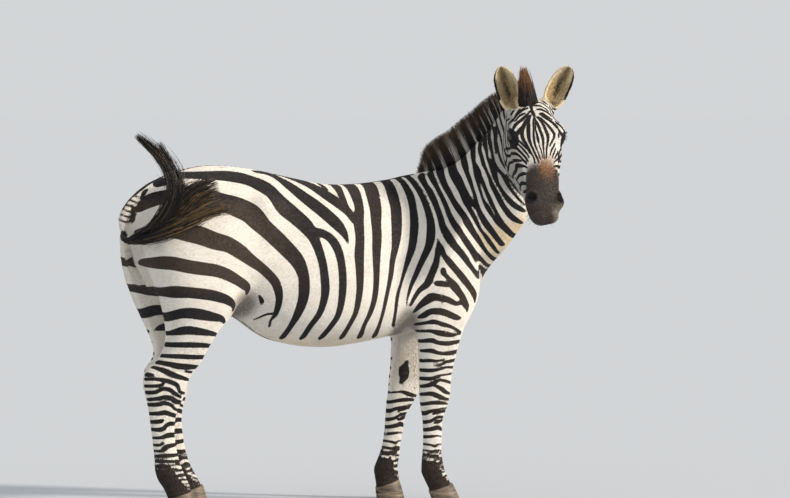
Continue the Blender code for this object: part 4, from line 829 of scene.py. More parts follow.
# The same on a cheek: arcs that nest round the corner of the mouth.  The other cheek has them mirrored.
CHEEK_BANDS = (
    ((-.1945, .1685, .003), (-.1755, .178, .0045), (-.1675, .184, .004), (-.156, .19, .0035),
     (-.1445, .1955, .0035), (-.129, .201, .004), (-.1175, .207, .005), (-.106, .2145, .005),
     (-.0955, .225, .0035), (-.0895, .237, .0035), (-.0835, .247, .003), (-.0775, .259, .003),
     (-.072, .2675, .003), (-.0675, .279, .003), (-.0645, .288, .002)),
    ((-.208, .165, .005), (-.2025, .18, .003), (-.1985, .1935, .004), (-.189, .203, .005),
     (-.1775, .211, .005), (-.164, .2165, .004), (-.1485, .2205, .004), (-.135, .2225, .004),
     (-.1255, .23, .005), (-.114, .236, .005), (-.104, .2435, .004), (-.0945, .255, .003),
     (-.087, .2685, .0025), (-.082, .279, .003), (-.0745, .289, .003), (-.073, .296, .002)),
    ((-.239, .209, .003), (-.2295, .211, .004), (-.216, .2115, .0045), (-.2025, .207, .003)),
    ((-.239, .238, .004), (-.2275, .2395, .005), (-.216, .2375, .0055), (-.2025, .234, .005),
     (-.191, .234, .004), (-.179, .2395, .004), (-.166, .2455, .004), (-.1525, .249, .004),
     (-.139, .253, .005), (-.1255, .259, .004), (-.114, .2645, .004), (-.1005, .272, .0035),
     (-.091, .278, .002)),
    ((-.239, .277, .004), (-.2255, .279, .005), (-.21, .279, .005), (-.1925, .282, .006),
     (-.1755, .286, .007), (-.16, .288, .008), (-.1475, .284, .009), (-.136, .278, .008),
     (-.1215, .2815, .0075), (-.108, .289, .006), (-.095, .297, .005), (-.083, .303, .003),
     (-.0745, .311, .002)),
    ((-.1925, .3145, .003), (-.1775, .317, .004), (-.164, .3155, .0045), (-.1525, .3165, .005),
     (-.141, .315, .005), (-.129, .317, .005), (-.1175, .3205, .0055), (-.106, .3245, .0055),
     (-.0945, .3285, .005), (-.085, .333, .003)),
    ((-.2025, .355, .003), (-.187, .355, .004), (-.1735, .353, .005), (-.16, .3495, .006),
     (-.1445, .3495, .0065), (-.133, .3515, .0065), (-.1215, .357, .006), (-.11, .363, .0055),
     (-.0985, .3685, .005), (-.087, .372, .003)),
    ((-.15, .385, .004), (-.135, .388, .005), (-.12, .392, .006), (-.105, .396, .006)),
    # fine lines down the back of the cheek
    ((-.14, .085, .002), (-.15, .105, .003), (-.158, .13, .0034), (-.16, .155, .003), (-.155, .178, .0015)),
    ((-.152, .035, .002), (-.168, .06, .0034), (-.18, .095, .0036), (-.184, .13, .0036), (-.182, .17, .003),
     (-.176, .195, .0015)),
    ((-.176, .02, .002), (-.193, .05, .0036), (-.204, .085, .004), (-.209, .125, .004),
     (-.208, .165, .0036), (-.2, .205, .002)),
    ((-.2, .012, .002), (-.217, .045, .0036), (-.228, .09, .004), (-.234, .14, .0044), (-.234, .185, .004),
     (-.225, .23, .002)),
    ((-.232, .03, .002), (-.25, .08, .0034), (-.258, .13, .004), (-.26, .18, .004), (-.252, .24, .003),
     (-.238, .28, .002)),
    ((-.262, .04, .002), (-.28, .1, .0034), (-.286, .17, .004), (-.28, .24, .0034), (-.262, .3, .002)),
    ((-.196, .3, .002), (-.184, .318, .0034), (-.174, .336, .0036), (-.166, .35, .002)),
)


def band_depth(x, y, bands):
    """How deep each point of a chart lies in the nearest band, negative outside all of them."""
    depth = np.full(len(x), -0.05)
    for band in bands:
        rows = [[i, *row] for i, row in enumerate(band)]
        line = along(np.linspace(0, len(band) - 1, 4 * (len(band) - 1) + 1), rows)
        near = (x > line[:, 0].min() - 0.05) & (x < line[:, 0].max() + 0.05)
        near &= (y > line[:, 1].min() - 0.05) & (y < line[:, 1].max() + 0.05)
        at = np.nonzero(near)[0]
        if not len(at):
            continue
        px, py, best = x[at], y[at], depth[at]
        for (ax, ay, ah), (bx, by, bh) in zip(line, line[1:]):
            wx, wy = bx - ax, by - ay
            t = np.clip(((px - ax) * wx + (py - ay) * wy) / (wx * wx + wy * wy + 1e-12), 0, 1)
            best = np.maximum(best, ah + t * (bh - ah) - np.hypot(px - ax - t * wx, py - ay - t * wy))
        depth[at] = best
    return depth


def waver(p, size, seed):
    """A smooth random drift, about -1 to 1, that changes over this distance."""
    rng = np.random.default_rng(seed)
    total = np.zeros(len(p))
    for _ in range(5):
        way = rng.normal(size=3)
        way *= 2 * np.pi / (size * np.linalg.norm(way) * rng.uniform(0.7, 1.4))
        total += np.sin(p @ way + rng.uniform(0, 6.3))
    return total / 2.6


NECK_UP = np.array((0.0, 0.0, 1.0)) - NECK_WAY * NECK_WAY[2]
NECK_UP /= np.linalg.norm(NECK_UP)


def is_face(p, in_head):
    """The head, jaw and ears: where the head's surface is nearer than the neck's."""
    a, s, out = in_head.T
    nearer = egg_stack(a, s, out, HEAD) < neck_stack(p) + 0.002
    ears = (p[:, 2] > 1.575) & (np.abs(s) > 0.018)
    return (nearer & (a > -0.03) | ears) & (p[:, 1] < -0.15) & (p[:, 2] > 1.0)


def markings(p):
    """For points on the hide: depth in the black, and the colours of the pale and the dark hair there."""
    x, y, z = p.T
    mirrored = np.stack([x, -np.abs(y), z], 1)
    off_side = ease(y, 0.0, 0.10)
    # a left leg that stands elsewhere carries its bands along
    shift = np.where(x > 0.1, along(z, LEFT_FORE_SHIFT)[:, 0], along(z, LEFT_HIND_SHIFT)[:, 0])
    own_x = x - shift * (y > 0)
    drift = off_side * (0.012 - 0.006 * ease(z, 0.65, 0.50))
    depth = band_depth(own_x + drift * waver(p, 0.5, 3), z + drift * waver(p, 0.6, 4), SIDE_BANDS)
    depth += 0.0008 * ease(z, 0.50, 0.70) + 0.0010 * ease(x, 0.30, 0.45) * ease(z, 0.66, 0.76)
    depth += 0.0035 * ease(1 - np.hypot((x - 0.310) / 0.030, (z - 0.745) / 0.13), 0, 0.3)
    # the inside of a leg is pale, with the bands only begun at its edges
    inside = ease(0.145 - np.abs(y), 0.0, 0.025) * (1 - ease(np.abs(z - 0.56), 0.10, 0.16)) * (np.abs(x) > 0.30)
    depth = depth - 0.011 * inside
    # neck
    t, up = mirrored @ NECK_WAY, mirrored @ NECK_UP
    on_neck = t > np.interp(up, *zip(*NECK_EDGE))
    bend = off_side * 0.010 * waver(p, 0.35, 5)
    at = np.nonzero(on_neck)[0]
    on_side = depth[at]
    depth[at] = band_depth((t + bend)[at], up[at], NECK_BANDS) + 0.0014
    depth[at] = np.where(up[at] < 0.69, np.maximum(depth[at], on_side), depth[at])
    # narrow bands go on up to the jaw and the back of the ears
    close = t + 0.010 * waver(p, 0.16, 31) + 0.05 * np.maximum(0.86 - up, 0)
    narrow = 0.0056 - 0.0060 * ease(up, 0.93, 0.87) - np.abs((close - 1.1385) % 0.0265 - 0.01325)
    depth = np.where(on_neck & (close > 1.136) & (up > 0.86), np.maximum(depth, narrow), depth)
    # head
    in_head = head_place(p)
    face = is_face(p, in_head)
    a, s, out = in_head.T
    round_head = np.arctan2(s, out + 0.10) * 0.1
    at = np.nonzero(face)[0]
    cheek = -np.abs(round_head)
    on_cheek = band_depth(cheek[at], a[at], CHEEK_BANDS) + 0.0016
    on_front = band_depth(round_head[at], a[at], FACE_BANDS) + 0.0016
    far_brow = (round_head[at] > 0.064) & (a[at] < 0.19)
    on_front = np.where(
        far_brow, np.maximum(on_front, band_depth(cheek[at], a[at], FACE_BANDS) + 0.001), on_front
    )
    on_cheek = np.where((round_head[at] > 0) & (round_head[at] < 0.075), -0.05, on_cheek)
    depth[at] = np.maximum(on_cheek, on_front)
    eye_gap = np.linalg.norm(np.stack([a, np.abs(s), out], 1) - EYE_IN_HEAD, axis=1)
    before_eye = (np.stack([a, np.abs(s), out], 1) - EYE_IN_HEAD - (0.010, 0.0, 0.004)) / (1.15, 1.0, 1.0)
    around_eye = np.linalg.norm(before_eye, axis=1)
    depth = np.where(face, np.maximum(depth, 0.037 - np.minimum(eye_gap, around_eye)), depth)
    # belly, the line under it and the line along the back
    belly = (ease(z, 0.655, 0.625) * (z > 0.59) * ease(x, -0.40, -0.34)
             * (1 - ease(x, 0.34, 0.40)) * (np.abs(y) < 0.2))
    depth = depth - 0.03 * belly
    back_line = 0.011 + 0.004 * ease(x, -0.15, -0.25) + 0.004 * waver(p, 0.11, 33) - np.abs(y)
    depth = np.maximum(depth, np.where((z > 1.15) & ~on_neck, back_line, -0.05))
    belly_line = 0.008 + 0.003 * waver(p, 0.09, 34) - np.abs(y)
    depth = np.maximum(depth, np.where((z < 0.75) & (x > -0.30) & (x < 0.35), belly_line, -0.05))
    # chevrons down the middle of the chest
    chest = (x > 0.42) & (z > 0.74) & (z < 1.02) & (t < 0.93)
    chevron = 0.0095 - np.abs((z - 0.75 * np.abs(y) + 0.010 * waver(p, 0.12, 32)) % 0.046 - 0.023)
    depth = np.where(chest, np.maximum(depth, np.minimum(chevron, (0.085 - np.abs(y)) * 0.5)), depth)
    # dark fetlocks and pasterns, paler in front; the bare chestnut inside a fore leg
    fore, hind = (
        along(z, [(height, (back + front) / 2) for height, back, front, *_ in leg])[:, 0]
        for leg in (FORE_LEG, HIND_LEG)
    )
    leg_middle = np.where(x > 0.1, fore, hind)
    ahead = ease(own_x - leg_middle, -0.004, 0.034)
    sock = 0.168 - z - 0.085 * ahead + 0.009 * waver(p, 0.035, 21) + 0.007 * waver(p, 0.016, 23)
    sock = np.maximum(
        sock, 0.0042 - np.abs((z + 0.006 * waver(p, 0.05, 24)) % 0.0185 - 0.0092) - 0.05 * (z > 0.20)
    )
    depth = np.where(z < 0.2, np.maximum(depth, np.minimum(sock, 0.02)), depth)
    chestnut = 1 - np.hypot((own_x - 0.488) / 0.021, (z - 0.498) / 0.046) + 0.15 * waver(p, 0.03, 22)
    depth = np.where((np.abs(y) < 0.125) & (x > 0.3) & (z < 0.6), np.maximum(depth, chestnut * 0.016), depth)
    # ladder bars at the root of the tail
    dock = (x < -0.675) & (z > 1.10) & (z < 1.24)
    bars = 0.0042 - np.abs((z + 0.25 * x + 0.30 * np.abs(y)) % 0.021 - 0.0105)
    depth = np.where(dock & (np.abs(y) < 0.05), np.maximum(depth, bars), depth)
    # colours
    pale = np.tile((0.83, 0.785, 0.715), (len(p), 1))
    dark = np.tile((0.016, 0.0135, 0.0140), (len(p), 1))

    def tint(colour, target, share):
        share = np.clip(share, 0, 1)[:, None]
        colour += (np.array(target) - colour) * share

    def tint_both(for_pale, for_dark, share):
        tint(pale, for_pale, share)
        tint(dark, for_dark, share)

    # browner bands on the haunch, the flank and the shoulder; warm belly; painted warm light on the lower
    # throat; painted shade behind the jaw
    tint(dark, (0.060, 0.042, 0.030), ease(x, 0.0, -0.30) * ease(z, 1.22, 1.16) * ease(z, 0.80, 0.90) * 0.9)
    tint(dark, (0.040, 0.028, 0.022), ease(x, 0.05, 0.12) * (1 - ease(x, 0.30, 0.36)) * 0.6)
    tint(dark, (0.045, 0.032, 0.022), ease(x, 0.45, 0.55) * ease(z, 0.98, 0.85) * 0.8)
    tint(pale, (0.74, 0.58, 0.36), ease(z, 0.70, 0.62) * 0.45 * (z > 0.55) * (np.abs(x) < 0.4))
    # painted light: a warm sunlit tone on the lower throat and the front of the chest
    tint(pale, (0.80, 0.64, 0.38), on_neck * ~face * ease(t, 0.93, 0.99) * ease(up, 0.79, 0.73) * 0.75)
    # painted shade: grey under and behind the jaw
    tint(pale, (0.46, 0.45, 0.42), on_neck * ~face * ease(t, 1.10, 1.16) * ease(up, 0.84, 0.90) * 0.8)
    tint(dark, (0.034, 0.024, 0.018), ease(z, 0.35, 0.10))
    # painted shade in the folds behind the legs and on the insides of the legs; the pale hair darkens just above
    # the hooves
    # painted shadow: the pale hair is darkened in the folds at the flank and behind the elbow
    flank_fold = 1 - np.hypot((x + 0.300) / 0.080, (z - 0.775) / 0.095)
    elbow_fold = 1 - np.hypot((x - 0.390) / 0.065, (z - 0.700) / 0.10)
    painted_fold_shade = np.maximum(flank_fold, elbow_fold)
    tint(pale, (0.17, 0.145, 0.115), ease(painted_fold_shade, 0, 0.6) * ease(0.335 - np.abs(y), 0, 0.04) * 0.85)
    # painted shade: the pale hair is greyed on the insides of the legs
    inner = ease(0.130 - np.abs(y), 0, 0.03) * (np.abs(x) > 0.40)
    tint(pale, (0.52, 0.47, 0.40), inner * ease(z, 0.40, 0.50) * ease(z, 1.06, 0.98) * 0.6)
    tint(pale, (0.20, 0.15, 0.11), ease(z, 0.13, 0.06))
    # face: painted shade greying the sides of the head, dark muzzle with a rusty patch above it, painted shade
    # in the nostrils, painted light on one side of the muzzle
    # painted shade: grey on the sides of the head
    tint(pale, (0.42, 0.41, 0.38), face * ease(np.abs(round_head), 0.085, 0.11) * ease(a, -0.01, 0.05) * 0.85)
    middle = np.abs(round_head + 0.010)
    nose = ease(a - 0.55 * np.maximum(middle - 0.045, 0) + 0.003 * waver(p, 0.02, 35), 0.284, 0.320)
    nose *= ease(-cheek - 0.5 * (a - 0.33), 0.092, 0.078)
    nose = np.maximum(nose, ease(a, 0.405, 0.425) * ease(out, -0.150, -0.125))
    nose = np.maximum(nose, ease(a, 0.47, 0.49)) * face
    rusty = ease(a, 0.255, 0.300) * (1 - ease(a, 0.318, 0.375)) * face
    rusty = rusty * ease(np.abs(round_head - 0.014), 0.052, 0.016)
    tint_both((0.070, 0.053, 0.045), (0.055, 0.042, 0.036), nose)
    # painted shade: the nostrils darkened to near black
    nostril = np.linalg.norm(np.stack([a, np.abs(s), out], 1) - np.array((0.436, 0.060, -0.042)), axis=1)
    tint_both((0.010, 0.008, 0.008), (0.010, 0.008, 0.008), face * ease(nostril, 0.030, 0.018))
    lip = face * ease(a, 0.43, 0.45) * (1 - ease(np.abs(out + 0.122 + 0.006 * waver(p, 0.03, 8)), 0.004, 0.012))
    tint_both((0.30, 0.24, 0.19), (0.22, 0.17, 0.14), lip * 0.6)
    # painted light: a paler patch on the left side of the muzzle only
    painted_lit_muzzle_side = face * ease(a, 0.450, 0.478) * ease(s + 0.006 * waver(p, 0.02, 36), 0.018, 0.040)
    tint_both((0.34, 0.29, 0.23), (0.30, 0.25, 0.20), painted_lit_muzzle_side * 0.6)
    tint_both((0.34, 0.165, 0.065), (0.10, 0.048, 0.024), rusty * 0.80)
    # ears: warm pale inside, a black edge on their outer rims and black bars behind
    for base, tip, opening in EARS:
        base_, tall, up_, front_, side_ = ear_axes(base, tip, opening)
        e = (p - base_) @ up_ / tall
        mine = (np.abs(p - (np.array(base) + tip) / 2) < (0.09, 0.07, 0.12)).all(axis=1) & (e > 0.06)
        wide, cup, wall = along(e, EAR).T * np.array(((EAR_HALF_WIDTH - 0.003,), (EAR_CUP - 0.001,), (1.0,)))
        across = (p - base_) @ side_
        inwards = (p - base_) @ front_ + EAR_CUP * 0.55 * np.sin(np.pi * np.clip(e, 0, 1))
        behind = (inwards < 0) & (oval(np.abs(across), inwards, wide - wall / 2, cup - wall / 2) > 0.0005)
        bars = np.maximum(0.018 - np.abs(e - 0.74) * tall, 0.012 - np.abs(e - 0.34) * tall)
        outer = across * np.sign(side_ @ HEAD_LEFT * (base[0] - 0.83)) > 0
        rim = outer & (np.abs(across) > 0.80 * wide) & (inwards > -0.012) & (e > 0.30)
        depth = np.where(
            mine, np.where(behind, bars, np.where(rim, 0.002 + (inwards + 0.003) * 0.5, -0.02)), depth
        )
        tint(pale, (0.84, 0.68, 0.42), mine * 0.85)
        hollow = mine & ~behind & (np.abs(across) < 0.62 * wide)
        from_middle = ease(np.abs(across), 0.12 * wide + 0.001, 0.62 * wide + 0.002)
        tint(pale, (0.20, 0.125, 0.05), hollow * (1 - from_middle) * 0.92)
    return depth, np.clip(pale, 0, 1), np.clip(dark, 0, 1)


# The hide's own mesh: a net drawn on the form above, with a bound on its triangles.
HIDE_TRIANGLES = 195000
grid = (
    graded(((-0.78, COARSE), (0.62, FINE), (1.02, 0))),
    graded(((-0.74, FINE), (-0.29, COARSE), (0.36, 0))),
    graded(((0.0, COARSE), (1.08, FINE), (1.73, 0))),
)
points, quads = sparse_net(zebra_form, grid, 6)
hide = new_piece("hide", points, quads)
# thin the net, but keep it fine along the stripes' edges
keep = hide.vertex_groups.new(name="keep")
at_edge = (np.abs(markings(points)[0]) < 0.8 * COARSE)
keep.add(np.nonzero(~at_edge)[0].tolist(), 1.0, "REPLACE")
keep.add(np.nonzero(at_edge)[0].tolist(), 0.15, "REPLACE")
thin = hide.modifiers.new("thin", "DECIMATE")
thin.ratio = min(1.0, HIDE_TRIANGLES / (2 * len(quads)))
thin.vertex_group = "keep"
settle(hide)
hide.vertex_groups.clear()


def store(obj, band, pale, dark):
    """Keep these markings on the piece, one value for each vertex."""
    layer = obj.data.attributes.new("band", "FLOAT", "POINT")
    layer.data.foreach_set("value", band.astype(np.float32))
    for name, colour in (("pale", pale), ("dark", dark)):
        layer = obj.data.attributes.new(name, "FLOAT_COLOR", "POINT")
        layer.data.foreach_set(
            "color", np.hstack([colour, np.ones((len(colour), 1))]).astype(np.float32).ravel()
        )


PATCH_HALF = 0.0015     # a tuft's or a strand's patch on the unwrap, half its side


def box_unwrap(p, n):
    """An unwrap of the hide: each side of the body in a cell of its own."""
    main = np.abs(n).argmax(1)
    rows = np.arange(len(n))
    cell = (main * 2 + (n[rows, main] > 0)) * 2 + (p[:, 1] > 0)
    first, second = np.array((1, 0, 0))[main], np.array((2, 2, 1))[main]
    low, span = np.array((-0.80, -0.65, 0.0)), np.array((1.82, 1.0, 1.72))
    u = (p[rows, first] - low[first]) / span[first]
    v = (p[rows, second] - low[second]) / span[second]
    return np.stack([(cell % 4 + 0.03 + 0.94 * u) / 4, (cell // 4 + 0.03 + 0.94 * v) / 3], 1)


def read(items, key, width, kind=float):
    """One property of all the items of a mesh, in this many columns."""
    values = np.empty(len(items) * width, kind)
    items.foreach_get(key, values)
    return values.reshape(-1, width)


def unwrap(obj, per_vertex):
    """Give the piece its UV map from one place for each vertex."""
    corner = read(obj.data.loops, "vertex_index", 1, np.int32)[:, 0]
    obj.data.uv_layers.new(name="OFBake").data.foreach_set("uv", per_vertex[corner].astype(np.float32).ravel())


place = read(hide.data.vertices, "co", 3) - SHIFT
bend = read(hide.data.vertices, "normal", 3)
store(hide, *markings(place))
# each face of the hide takes the cell that most of it looks at
hide.data.calc_loop_triangles()
corner = read(hide.data.loop_triangles, "vertices", 3, np.int32)
loop_vertex = read(hide.data.loops, "vertex_index", 1, np.int32)[:, 0]
face_of_loop = np.repeat(np.arange(len(hide.data.polygons)),
                         [len(face.vertices) for face in hide.data.polygons])
face_middle = np.zeros((len(hide.data.polygons), 3))
face_bend = np.zeros_like(face_middle)
np.add.at(face_middle, face_of_loop, place[loop_vertex] / 3)
np.add.at(face_bend, face_of_loop, bend[loop_vertex])
main = np.abs(face_bend).argmax(1)[face_of_loop]
one_side = np.zeros((len(loop_vertex), 3))
one_side[np.arange(len(loop_vertex)), main] = np.sign(face_bend[face_of_loop, main])
held = place[loop_vertex].copy()
left_half = face_middle[face_of_loop, 1] > 0
held[:, 1] = np.where(left_half, np.maximum(held[:, 1], 1e-6), np.minimum(held[:, 1], 0.0))
unwrapped = box_unwrap(held, one_side).astype(np.float32)
hide.data.uv_layers.new(name="OFBake").data.foreach_set("uv", unwrapped.ravel())


def socket(tree, kind, name, way, default=None):
    """Add a named input or output to a shader group."""
    made = tree.interface.new_socket(name=name, in_out=way, socket_type=kind)
    if default is not None:
        made.default_value = default
    return made


# Shared effect: black and pale hair meet along the band's edge in a short ragged line, and no two patches of
# hair have quite the same shade.
stripe_group = bpy.data.node_groups.new("striped hair", "ShaderNodeTree")
socket(stripe_group, "NodeSocketFloat", "Band", "INPUT")
socket(stripe_group, "NodeSocketColor", "Pale hair", "INPUT")
socket(stripe_group, "NodeSocketColor", "Dark hair", "INPUT")
socket(stripe_group, "NodeSocketFloat", "Ragged edge", "INPUT", 0.0022)
socket(stripe_group, "NodeSocketFloat", "Shade change", "INPUT", 0.22)
socket(stripe_group, "NodeSocketColor", "Colour", "OUTPUT")
socket(stripe_group, "NodeSocketFloat", "Height", "OUTPUT")
nodes, links = stripe_group.nodes, stripe_group.links
given, result = nodes.new("NodeGroupInput"), nodes.new("NodeGroupOutput")
where = nodes.new("ShaderNodeTexCoord")
fine, broad = nodes.new("ShaderNodeTexNoise"), nodes.new("ShaderNodeTexNoise")
fine.inputs["Scale"].default_value, fine.inputs["Detail"].default_value = 420.0, 3.0
broad.inputs["Scale"].default_value, broad.inputs["Detail"].default_value = 14.0, 4.0
centred, ragged, moved = (nodes.new("ShaderNodeMath") for _ in range(3))
centred.operation, centred.inputs[1].default_value = "SUBTRACT", 0.5
ragged.operation, moved.operation = "MULTIPLY", "ADD"
edge = nodes.new("ShaderNodeMapRange")
edge.inputs["From Min"].default_value, edge.inputs["From Max"].default_value = -0.0008, 0.0008
pick = nodes.new("ShaderNodeMix")
pick.data_type = "RGBA"
shade = nodes.new("ShaderNodeMath")
shade.operation = "MULTIPLY_ADD"
shade_in, shaded = nodes.new("ShaderNodeMath"), nodes.new("ShaderNodeVectorMath")
shade_in.operation, shade_in.inputs[1].default_value = "SUBTRACT", 0.5
shaded.operation = "SCALE"
shade.inputs[2].default_value = 1.0
for source, output, target, put_in in (
    (where, "Object", fine, "Vector"), (where, "Object", broad, "Vector"),
    (fine, "Fac", centred, 0), (centred, 0, ragged, 0), (given, "Ragged edge", ragged, 1),
    (given, "Band", moved, 0), (ragged, 0, moved, 1), (moved, 0, edge, "Value"),
    (edge, "Result", pick, "Factor"), (given, "Pale hair", pick, "A"), (given, "Dark hair", pick, "B"),
    (broad, "Fac", shade_in, 0), (shade_in, 0, shade, 0), (given, "Shade change", shade, 1),
    (pick, "Result", shaded, 0), (shade, 0, shaded, "Scale"),
    (shaded, "Vector", result, "Colour"), (fine, "Fac", result, "Height"),
):
    links.new(source.outputs[output], target.inputs[put_in])


def new_material(name, roughness, colour=(0.5, 0.5, 0.5)):
    """A material with its tree and its main shader."""
    material = bpy.data.materials.new(name)
    material.use_nodes = True
    shader = material.node_tree.nodes["Principled BSDF"]
    shader.inputs["Roughness"].default_value = roughness
    shader.inputs["Base Color"].default_value = (*colour, 1.0)
    return material, material.node_tree, shader


def striped_material(name, roughness, sheen, bump, ragged_edge=0.0022):
    """Hair coloured by the band, pale and dark values kept on a piece."""
    material, tree, shader = new_material(name, roughness)
    group = tree.nodes.new("ShaderNodeGroup")
    group.node_tree = stripe_group
    group.inputs["Ragged edge"].default_value = ragged_edge
    for attribute, output, target in (
        ("band", "Fac", "Band"), ("pale", "Color", "Pale hair"), ("dark", "Color", "Dark hair"),
    ):
        reader = tree.nodes.new("ShaderNodeAttribute")
        reader.attribute_name = attribute
        tree.links.new(reader.outputs[output], group.inputs[target])
    if bump:
        relief = tree.nodes.new("ShaderNodeBump")
        relief.inputs["Strength"].default_value, relief.inputs["Distance"].default_value = bump, 0.002
        tree.links.new(group.outputs["Height"], relief.inputs["Height"])
        tree.links.new(relief.outputs["Normal"], shader.inputs["Normal"])
    tree.links.new(group.outputs["Colour"], shader.inputs["Base Color"])
    shader.inputs["Sheen Weight"].default_value = sheen
    shader.inputs["Sheen Roughness"].default_value = 0.4
    shader.inputs["Specular IOR Level"].default_value = 0.3
    return material


hide_material = striped_material("striped hide", 0.72, 0.05, 0.4)
hide.data.materials.append(hide_material)
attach(hide, "root")
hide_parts("head", "neck", "trunk", "tail_dock", "foreleg_left", "foreleg_right",
            "hindleg_left", "hindleg_right", "ear_left", "ear_right")

# ================================================================ the coat
# Short hair lies flat all over: thin pointed tufts, rooted in the hide, that overlap like shingles and run back
# along the body, down the legs and down the face.  They are smallest on the face and the feet.
TUFTS = 300000
MOST_TUFTS = 49000      # in one piece, to stay under 200,000 triangles
ROOT_DEPTH = 0.0012     # how far a tuft is sunk into the hide
a, b, c = (place[corner[:, k]] for k in range(3))
area = np.linalg.norm(np.cross(b - a, c - a), axis=1) / 2


def hair_lie(p):
    """Length of the coat at these places, the way that it lies, and which of them are on the face."""
    in_head = head_place(p)
    face = is_face(p, in_head)
    t, z = p @ NECK_WAY, p[:, 2]
    on_neck = ease(t, 0.80, 0.95) * ease(z, 0.75, 0.90)
    length = 0.0105 - 0.0020 * on_neck - 0.0035 * ease(z, 0.70, 0.55) - 0.001 * ease(z, 0.20, 0.08)
    length = np.where(face, 0.0062 - 0.0027 * ease(in_head[:, 0], 0.10, 0.38), length)
    legs = ease(z, 0.80, 0.60)[:, None]
    way = np.array((-1.0, 0.0, -0.35)) * (1 - legs) + np.array((-0.10, 0.0, -1.0)) * legs
    way = way * (1 - on_neck[:, None]) + (-NECK_WAY * 0.9 + np.array((0, 0, -0.45))) * on_neck[:, None]
    down_face = np.where(in_head[:, :1] < 0.05, -NOSE_WAY * 0.6 + BROW_WAY * 0.2, NOSE_WAY)
    return length, np.where(face[:, None], down_face, way), face


rng = np.random.default_rng(42)
middle = (a + b + c) / 3
weight = area * hair_lie(middle)[0] ** -1.3
eyes_at = [on_head(EYE_IN_HEAD[0], sign * EYE_IN_HEAD[1], EYE_IN_HEAD[2]) for sign in (1, -1)]
eye_gap = [np.linalg.norm(middle - eye_at, axis=1) for eye_at in eyes_at]
weight *= (np.minimum(*eye_gap) > EYE_RADIUS + 0.003) & (middle[:, 2] > 0.045)      # none on the eyes or hooves
pick_at = rng.choice(len(area), TUFTS, p=weight / weight.sum())
u, v = rng.random(TUFTS), rng.random(TUFTS)
u, v = np.where(u + v > 1, 1 - u, u), np.where(u + v > 1, 1 - v, v)
share = np.stack([1 - u - v, u, v], 1)[:, :, None]
root = (place[corner[pick_at]] * share).sum(1)
out = (bend[corner[pick_at]] * share).sum(1)
out = unit(out)
length, way, face = hair_lie(root)
way = way + rng.normal(0, 0.12, (TUFTS, 3))
way -= out * (way * out).sum(1)[:, None]
way = unit(way)
side = np.cross(out, way)
length = length * rng.uniform(0.75, 1.25, TUFTS)
width = length * 0.26 + 0.0006
lift = 0.0009 + length * 0.06 * rng.uniform(0.5, 1.5, TUFTS)
vary = rng.uniform(0.88, 1.08, TUFTS)
band, pale, dark = markings(root)
band_at_tip = markings(root + way * length[:, None])[0]
middle_band = (band + band_at_tip) / 2
band, band_at_tip = middle_band + 0.75 * (band - middle_band), middle_band + 0.75 * (band_at_tip - middle_band)
coat_material = striped_material("short coat", 0.66, 0.05, 0.0, 0.0006)


def tuft_piece(name, mine):
    """One closed three-sided blade for each of these roots."""
    r, o, w, s = root[mine], out[mine], way[mine], side[mine]
    ln, wd, lf = length[mine][:, None], width[mine][:, None], lift[mine][:, None]
    n = len(r)
    corners = np.stack([
        r - s * wd / 2 - o * ROOT_DEPTH - w * ln * 0.10,
        r + s * wd / 2 - o * ROOT_DEPTH - w * ln * 0.10,
        r + w * ln * 0.30 + o * (0.0005 + lf * 0.30),
        r + w * ln + o * lf,
    ], 1).reshape(-1, 3)
    first = np.arange(n)[:, None] * 4
    faces = np.concatenate([first + f for f in ((0, 1, 2), (1, 3, 2), (3, 0, 2), (0, 3, 1))], 1).reshape(-1, 3)
    obj = new_piece(name, corners, faces, smooth=False)
    at_root, at_tip = band[mine], band_at_tip[mine]
    step = at_tip - at_root
    # painted shade along each tuft: darker at its root, under the tufts that overlap it, and a little brighter
    # at its tip; vary gives each tuft its own tone
    shade = (np.array((0.92, 0.92, 1.0, 1.05)) * vary[mine][:, None]).reshape(-1, 1)
    store(obj, np.stack([at_root - 0.1 * step, at_root - 0.1 * step, at_root + 0.3 * step, at_tip], 1).ravel(),
          np.repeat(pale[mine], 4, axis=0) * shade, np.repeat(dark[mine], 4, axis=0) * shade)
    patch = np.tile(np.array(((-1, -1), (1, -1), (0, 0), (0, 1))) * PATCH_HALF, (n, 1))
    unwrap(obj, np.repeat(box_unwrap(r, o), 4, axis=0) + patch)
    obj.data.materials.append(coat_material)
    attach(obj, "root")


on_neck = ~face & (root @ NECK_WAY > 0.84) & (root[:, 2] > 0.8)
on_leg = ~face & ~on_neck & (root[:, 2] < 0.64)
on_body = ~face & ~on_neck & ~on_leg
x, y = root[:, 0], root[:, 1]
haunch, loin, shoulder = x < -0.28, abs(x + 0.10) <= 0.18, x > 0.08
for name, chosen in (
    ("coat_head", face), ("coat_neck", on_neck),
    ("coat_forelegs", on_leg & (x > 0.05)), ("coat_hindlegs", on_leg & (x <= 0.05)),
    ("coat_haunch_right", on_body & haunch & (y < 0)), ("coat_haunch_left", on_body & haunch & (y >= 0)),
    ("coat_loin_right", on_body & loin & (y < 0)), ("coat_loin_left", on_body & loin & (y >= 0)),
    ("coat_shoulder_right", on_body & shoulder & (y < 0)), ("coat_shoulder_left", on_body & shoulder & (y >= 0)),
):
    at = np.nonzero(chosen)[0]
    parts = math.ceil(len(at) / MOST_TUFTS)
    for number in range(parts):
        tuft_piece(name if parts == 1 else f"{name}_{number + 1}", at[number::parts])

# ================================================================ the long hair
# Mane, forelock and tail are made of strands: tapered three-sided blades that each follow a line of their own.


